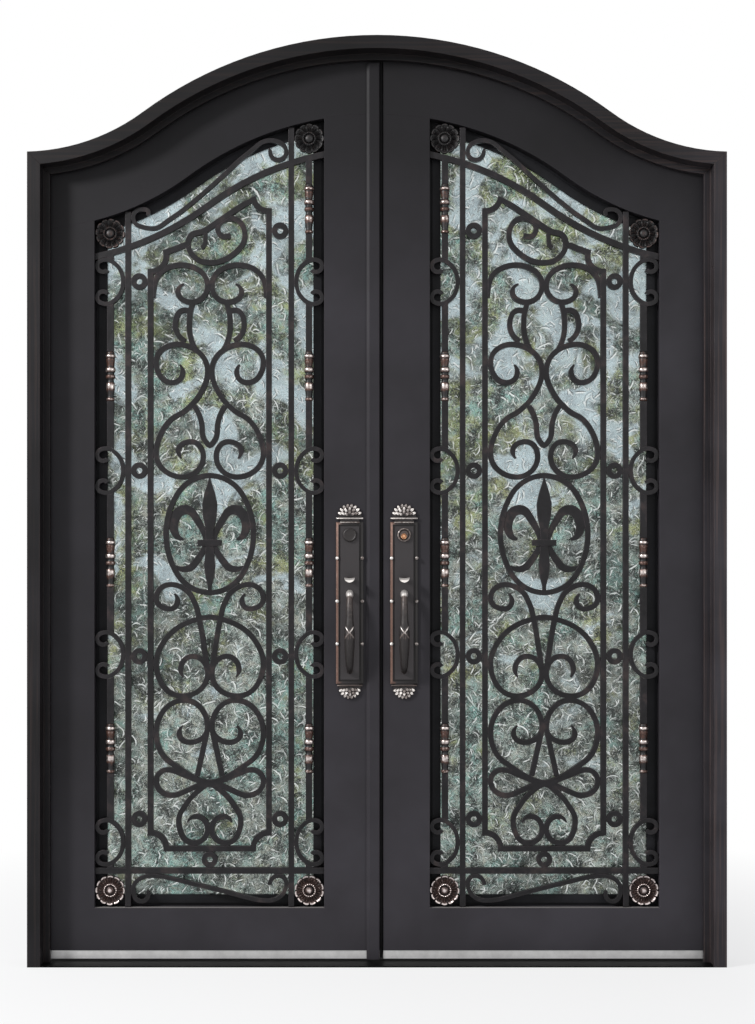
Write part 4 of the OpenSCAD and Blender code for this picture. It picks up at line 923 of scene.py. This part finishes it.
def makeGrip(side):
    s = grip
    low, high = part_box(side + "_grip")
    x = (low.x + high.x) / 2
    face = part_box(side + "_handle_plate")[1].y - s["sunk"] / 1000
    work, rub = startCasting()
    rings = []
    for i in range(s["along"] + 1):
        t = i / s["along"]
        here = pathPoint(s["path"], t)
        ahead = (pathPoint(s["path"], min(1, t + 0.004)) - pathPoint(s["path"], max(0, t - 0.004))).normalized()
        radius = between(s["radius"], t)
        fluted = smoothStep(0.27, 0.33, t) * (1 - smoothStep(0.82, 0.87, t))
        rise = (here.y - s["ribbonAt"]) / s["ribbonTall"]
        inside = 1 - smoothStep(0.85, 1.05, abs(rise))
        ring = []
        for k in range(s["round"]):
            # a = 0 faces out of the door
            a = 2 * math.pi * k / s["round"]
            groove = 0.5 + 0.5 * math.cos(s["flutes"] * a)
            turn = (a + math.pi) % (2 * math.pi) - math.pi
            strands = [math.exp(-((turn - way * s["ribbonLean"] * rise) / s["ribbonWide"]) ** 2) for way in (1, -1)]
            cross = max(strands) * inside
            r = radius * (1 - s["fluteDeep"] * fluted * groove * (1 - cross)) + s["ribbonRise"] * cross
            out = here.x + r * math.cos(a) * (-ahead.y)
            up = here.y + r * math.cos(a) * ahead.x
            ring.append((x + r * math.sin(a) / 1000, face - out / 1000, up / 1000,
                         gripRub(t, groove, turn, rise, inside, cross)))
        rings.append(ring)
    addLoft(work, rub, rings)
    for z, wide in s["roses"]:
        rose = [(wide, -1.0, 0.0), (wide, 1.5, 0.1), (wide - 0.8, 3.0, 0.2), (wide - 2.5, 3.6, 0.1)]
        addTurned(work, rub, (x, face, z / 1000), rose, 32)
    finishPiece(work, side + "Grip", side + "_leaf", "polished", "oiled_bronze", side + "_grip", sharpAngle=50)


# Thumb pieces: a narrow arm that opens into a shallow bowl with a rolled-over nose, in millimetres
spoon = {"along": 32, "across": 20, "thick": 2.8, "arm": 4.5, "bowl": 9.4, "dish": 1.4, "droop": 13.2, "step": 3.1,
         "room": 0.6}


def makeThumbPiece(side, body):
    s = spoon
    low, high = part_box(side + "_thumb_piece")
    x, z = (low.x + high.x) / 2, (low.z + high.z) / 2
    reach = (high.y - low.y) * 1000 - 2 * s["room"]
    back = high.y - s["room"] / 1000
    work, rub = startCasting()
    rings = []
    for i in range(s["along"] + 1):
        t = i / s["along"]
        roll = max(0.0, (t - 0.5) / 0.5) * math.pi / 2
        out = reach * (0.62 * min(1.0, t / 0.5) + 0.38 * math.sin(roll))
        wide = s["arm"] + s["bowl"] * smoothStep(0.12, 0.28, t)
        wide *= math.sqrt(max(0.02, 1 - (1 - math.cos(roll)) ** 2))
        top = 0.6 + s["step"] * smoothStep(0.14, 0.3, t) - s["droop"] * (1 - math.cos(roll))
        dish = s["dish"] * smoothStep(0.2, 0.45, t) * math.cos(roll)
        ring = []
        for sign in (1, -1):
            under = sign < 0
            value = 0.0 if under else 0.3 + 0.7 * smoothStep(0.3, 0.7, t)
            y = back - (out - (1.5 * math.sin(roll) if under else 0)) / 1000
            for k in range(s["across"]):
                v = sign * (2 * k / (s["across"] - 1) - 1)
                level = top - dish * (1 - v * v) - (s["thick"] * (0.3 + 0.7 * math.sqrt(1 - v * v)) if under else 0)
                ring.append((x + wide * v / 1000, y, z + level / 1000, value))
        rings.append(ring)
    addLoft(work, rub, rings)
    finishPiece(work, side + "ThumbPiece", body, "polished", "oiled_bronze", side + "_thumb_piece", sharpAngle=60)


# Inside: a plate with a moulded edge, as [inset, out, rub], and a turned knob, as [radius, out, rub]
insideTrim = {"height": 1.016, "halfWide": 30, "halfTall": 110, "room": 0.4, "steps": 48,
              "edge": ((0.0, 0.0, 0.1), (0.0, 2.2, 0.4), (1.0, 3.4, 0.9), (3.5, 3.8, 0.5), (5.0, 3.2, 0.1),
                       (7.0, 3.2, 0.1), (9.0, 5.0, 0.5)),
              "knobDeep": 72.0,
              "knob": ((17, 4.0, 0.1), (17.5, 7.0, 0.5), (16, 9.0, 0.9), (13, 10.0, 0.3), (10.5, 13.0, 0.1),
                       (9.5, 20.0, 0.2), (10.0, 25.0, 0.3), (14, 29.0, 0.5), (20, 34.0, 0.6), (24.5, 41.0, 0.7),
                       (25.8, 48.0, 0.8), (25.0, 55.0, 0.7), (22.0, 62.0, 0.6), (17.0, 67.5, 0.7), (15.0, 68.0, 0.2),
                       (11.0, 70.0, 0.5), (5.0, 71.5, 0.6), (0.6, 72.0, 0.6))}


def makeInsideTrim(side):
    s = insideTrim
    low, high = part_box(side + "_inside_trim")
    x, z, back = (low.x + high.x) / 2, s["height"], low.y
    work, rub = startCasting()
    rings = []
    for inset, out, value in s["edge"]:
        half, tall = (s["halfWide"] - inset) / 1000, (s["halfTall"] - inset) / 1000
        rings.append(plateRing(x, half, back + out / 1000, z - tall, z + tall, value, value))
    addLoft(work, rub, rings)
    scale = ((high.y - back) * 1000 - s["room"]) / s["knobDeep"]
    knob = [(radius, -out * scale, value) for radius, out, value in s["knob"]]
    addTurned(work, rub, (x, back, z), knob, s["steps"])
    finishPiece(work, side + "InsideTrim", side + "_leaf", "oiled", "oiled_bronze", side + "_inside_trim",
                sharpAngle=45)


for side, thumbBody in (("left", "left_leaf"), ("right", "right_thumb")):
    makeHandleTrim(side)
    makeGrip(side)
    makeThumbPiece(side, thumbBody)
    makeInsideTrim(side)
print("Handle sets fitted")


# Seal of black rubber in the gap between the leaves, with a soft lip behind the right leaf; its black also stands in
# for the shade seen through the gap
seal = {"front": 0.010, "back": 0.006, "lip": 0.006, "lipThick": 0.0015, "clear": 0.0003, "belowTop": 0.001,
        "aboveBottom": 0.0005}


def makeSeal():
    s = seal
    low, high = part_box("left_lock_stile")
    x0, x1 = high.x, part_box("right_lock_stile")[0].x - s["clear"]
    y0, y1 = low.y + s["front"], high.y - s["back"]
    lip = high.y + s["clear"]
    section = [(x0, y0 + 0.002), (x0 + 0.002, y0), (x1 - 0.002, y0), (x1, y0 + 0.003), (x1, y1), (x1, lip),
               (x1 + s["lip"], lip),
               (x1 + s["lip"], lip + s["lipThick"]), (x0, lip + s["lipThick"])]
    ends = (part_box("left_sweep")[0].z + s["aboveBottom"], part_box("left_top_rail")[1].z - s["belowTop"])
    work = bmesh.new()
    rings = [[work.verts.new((x, y, z)) for x, y in section] for z in ends]
    for k in range(len(section)):
        work.faces.new((rings[0][k - 1], rings[0][k], rings[1][k], rings[1][k - 1]))
    for ring in rings:
        work.faces.new(ring)
    finishPiece(work, "meetingSeal", "left_leaf", "rubber", "glazing_paint")


makeSeal()
print("Seal fitted")

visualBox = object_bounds()
boxes = {"packed": packedBox, "visual": visualBox}
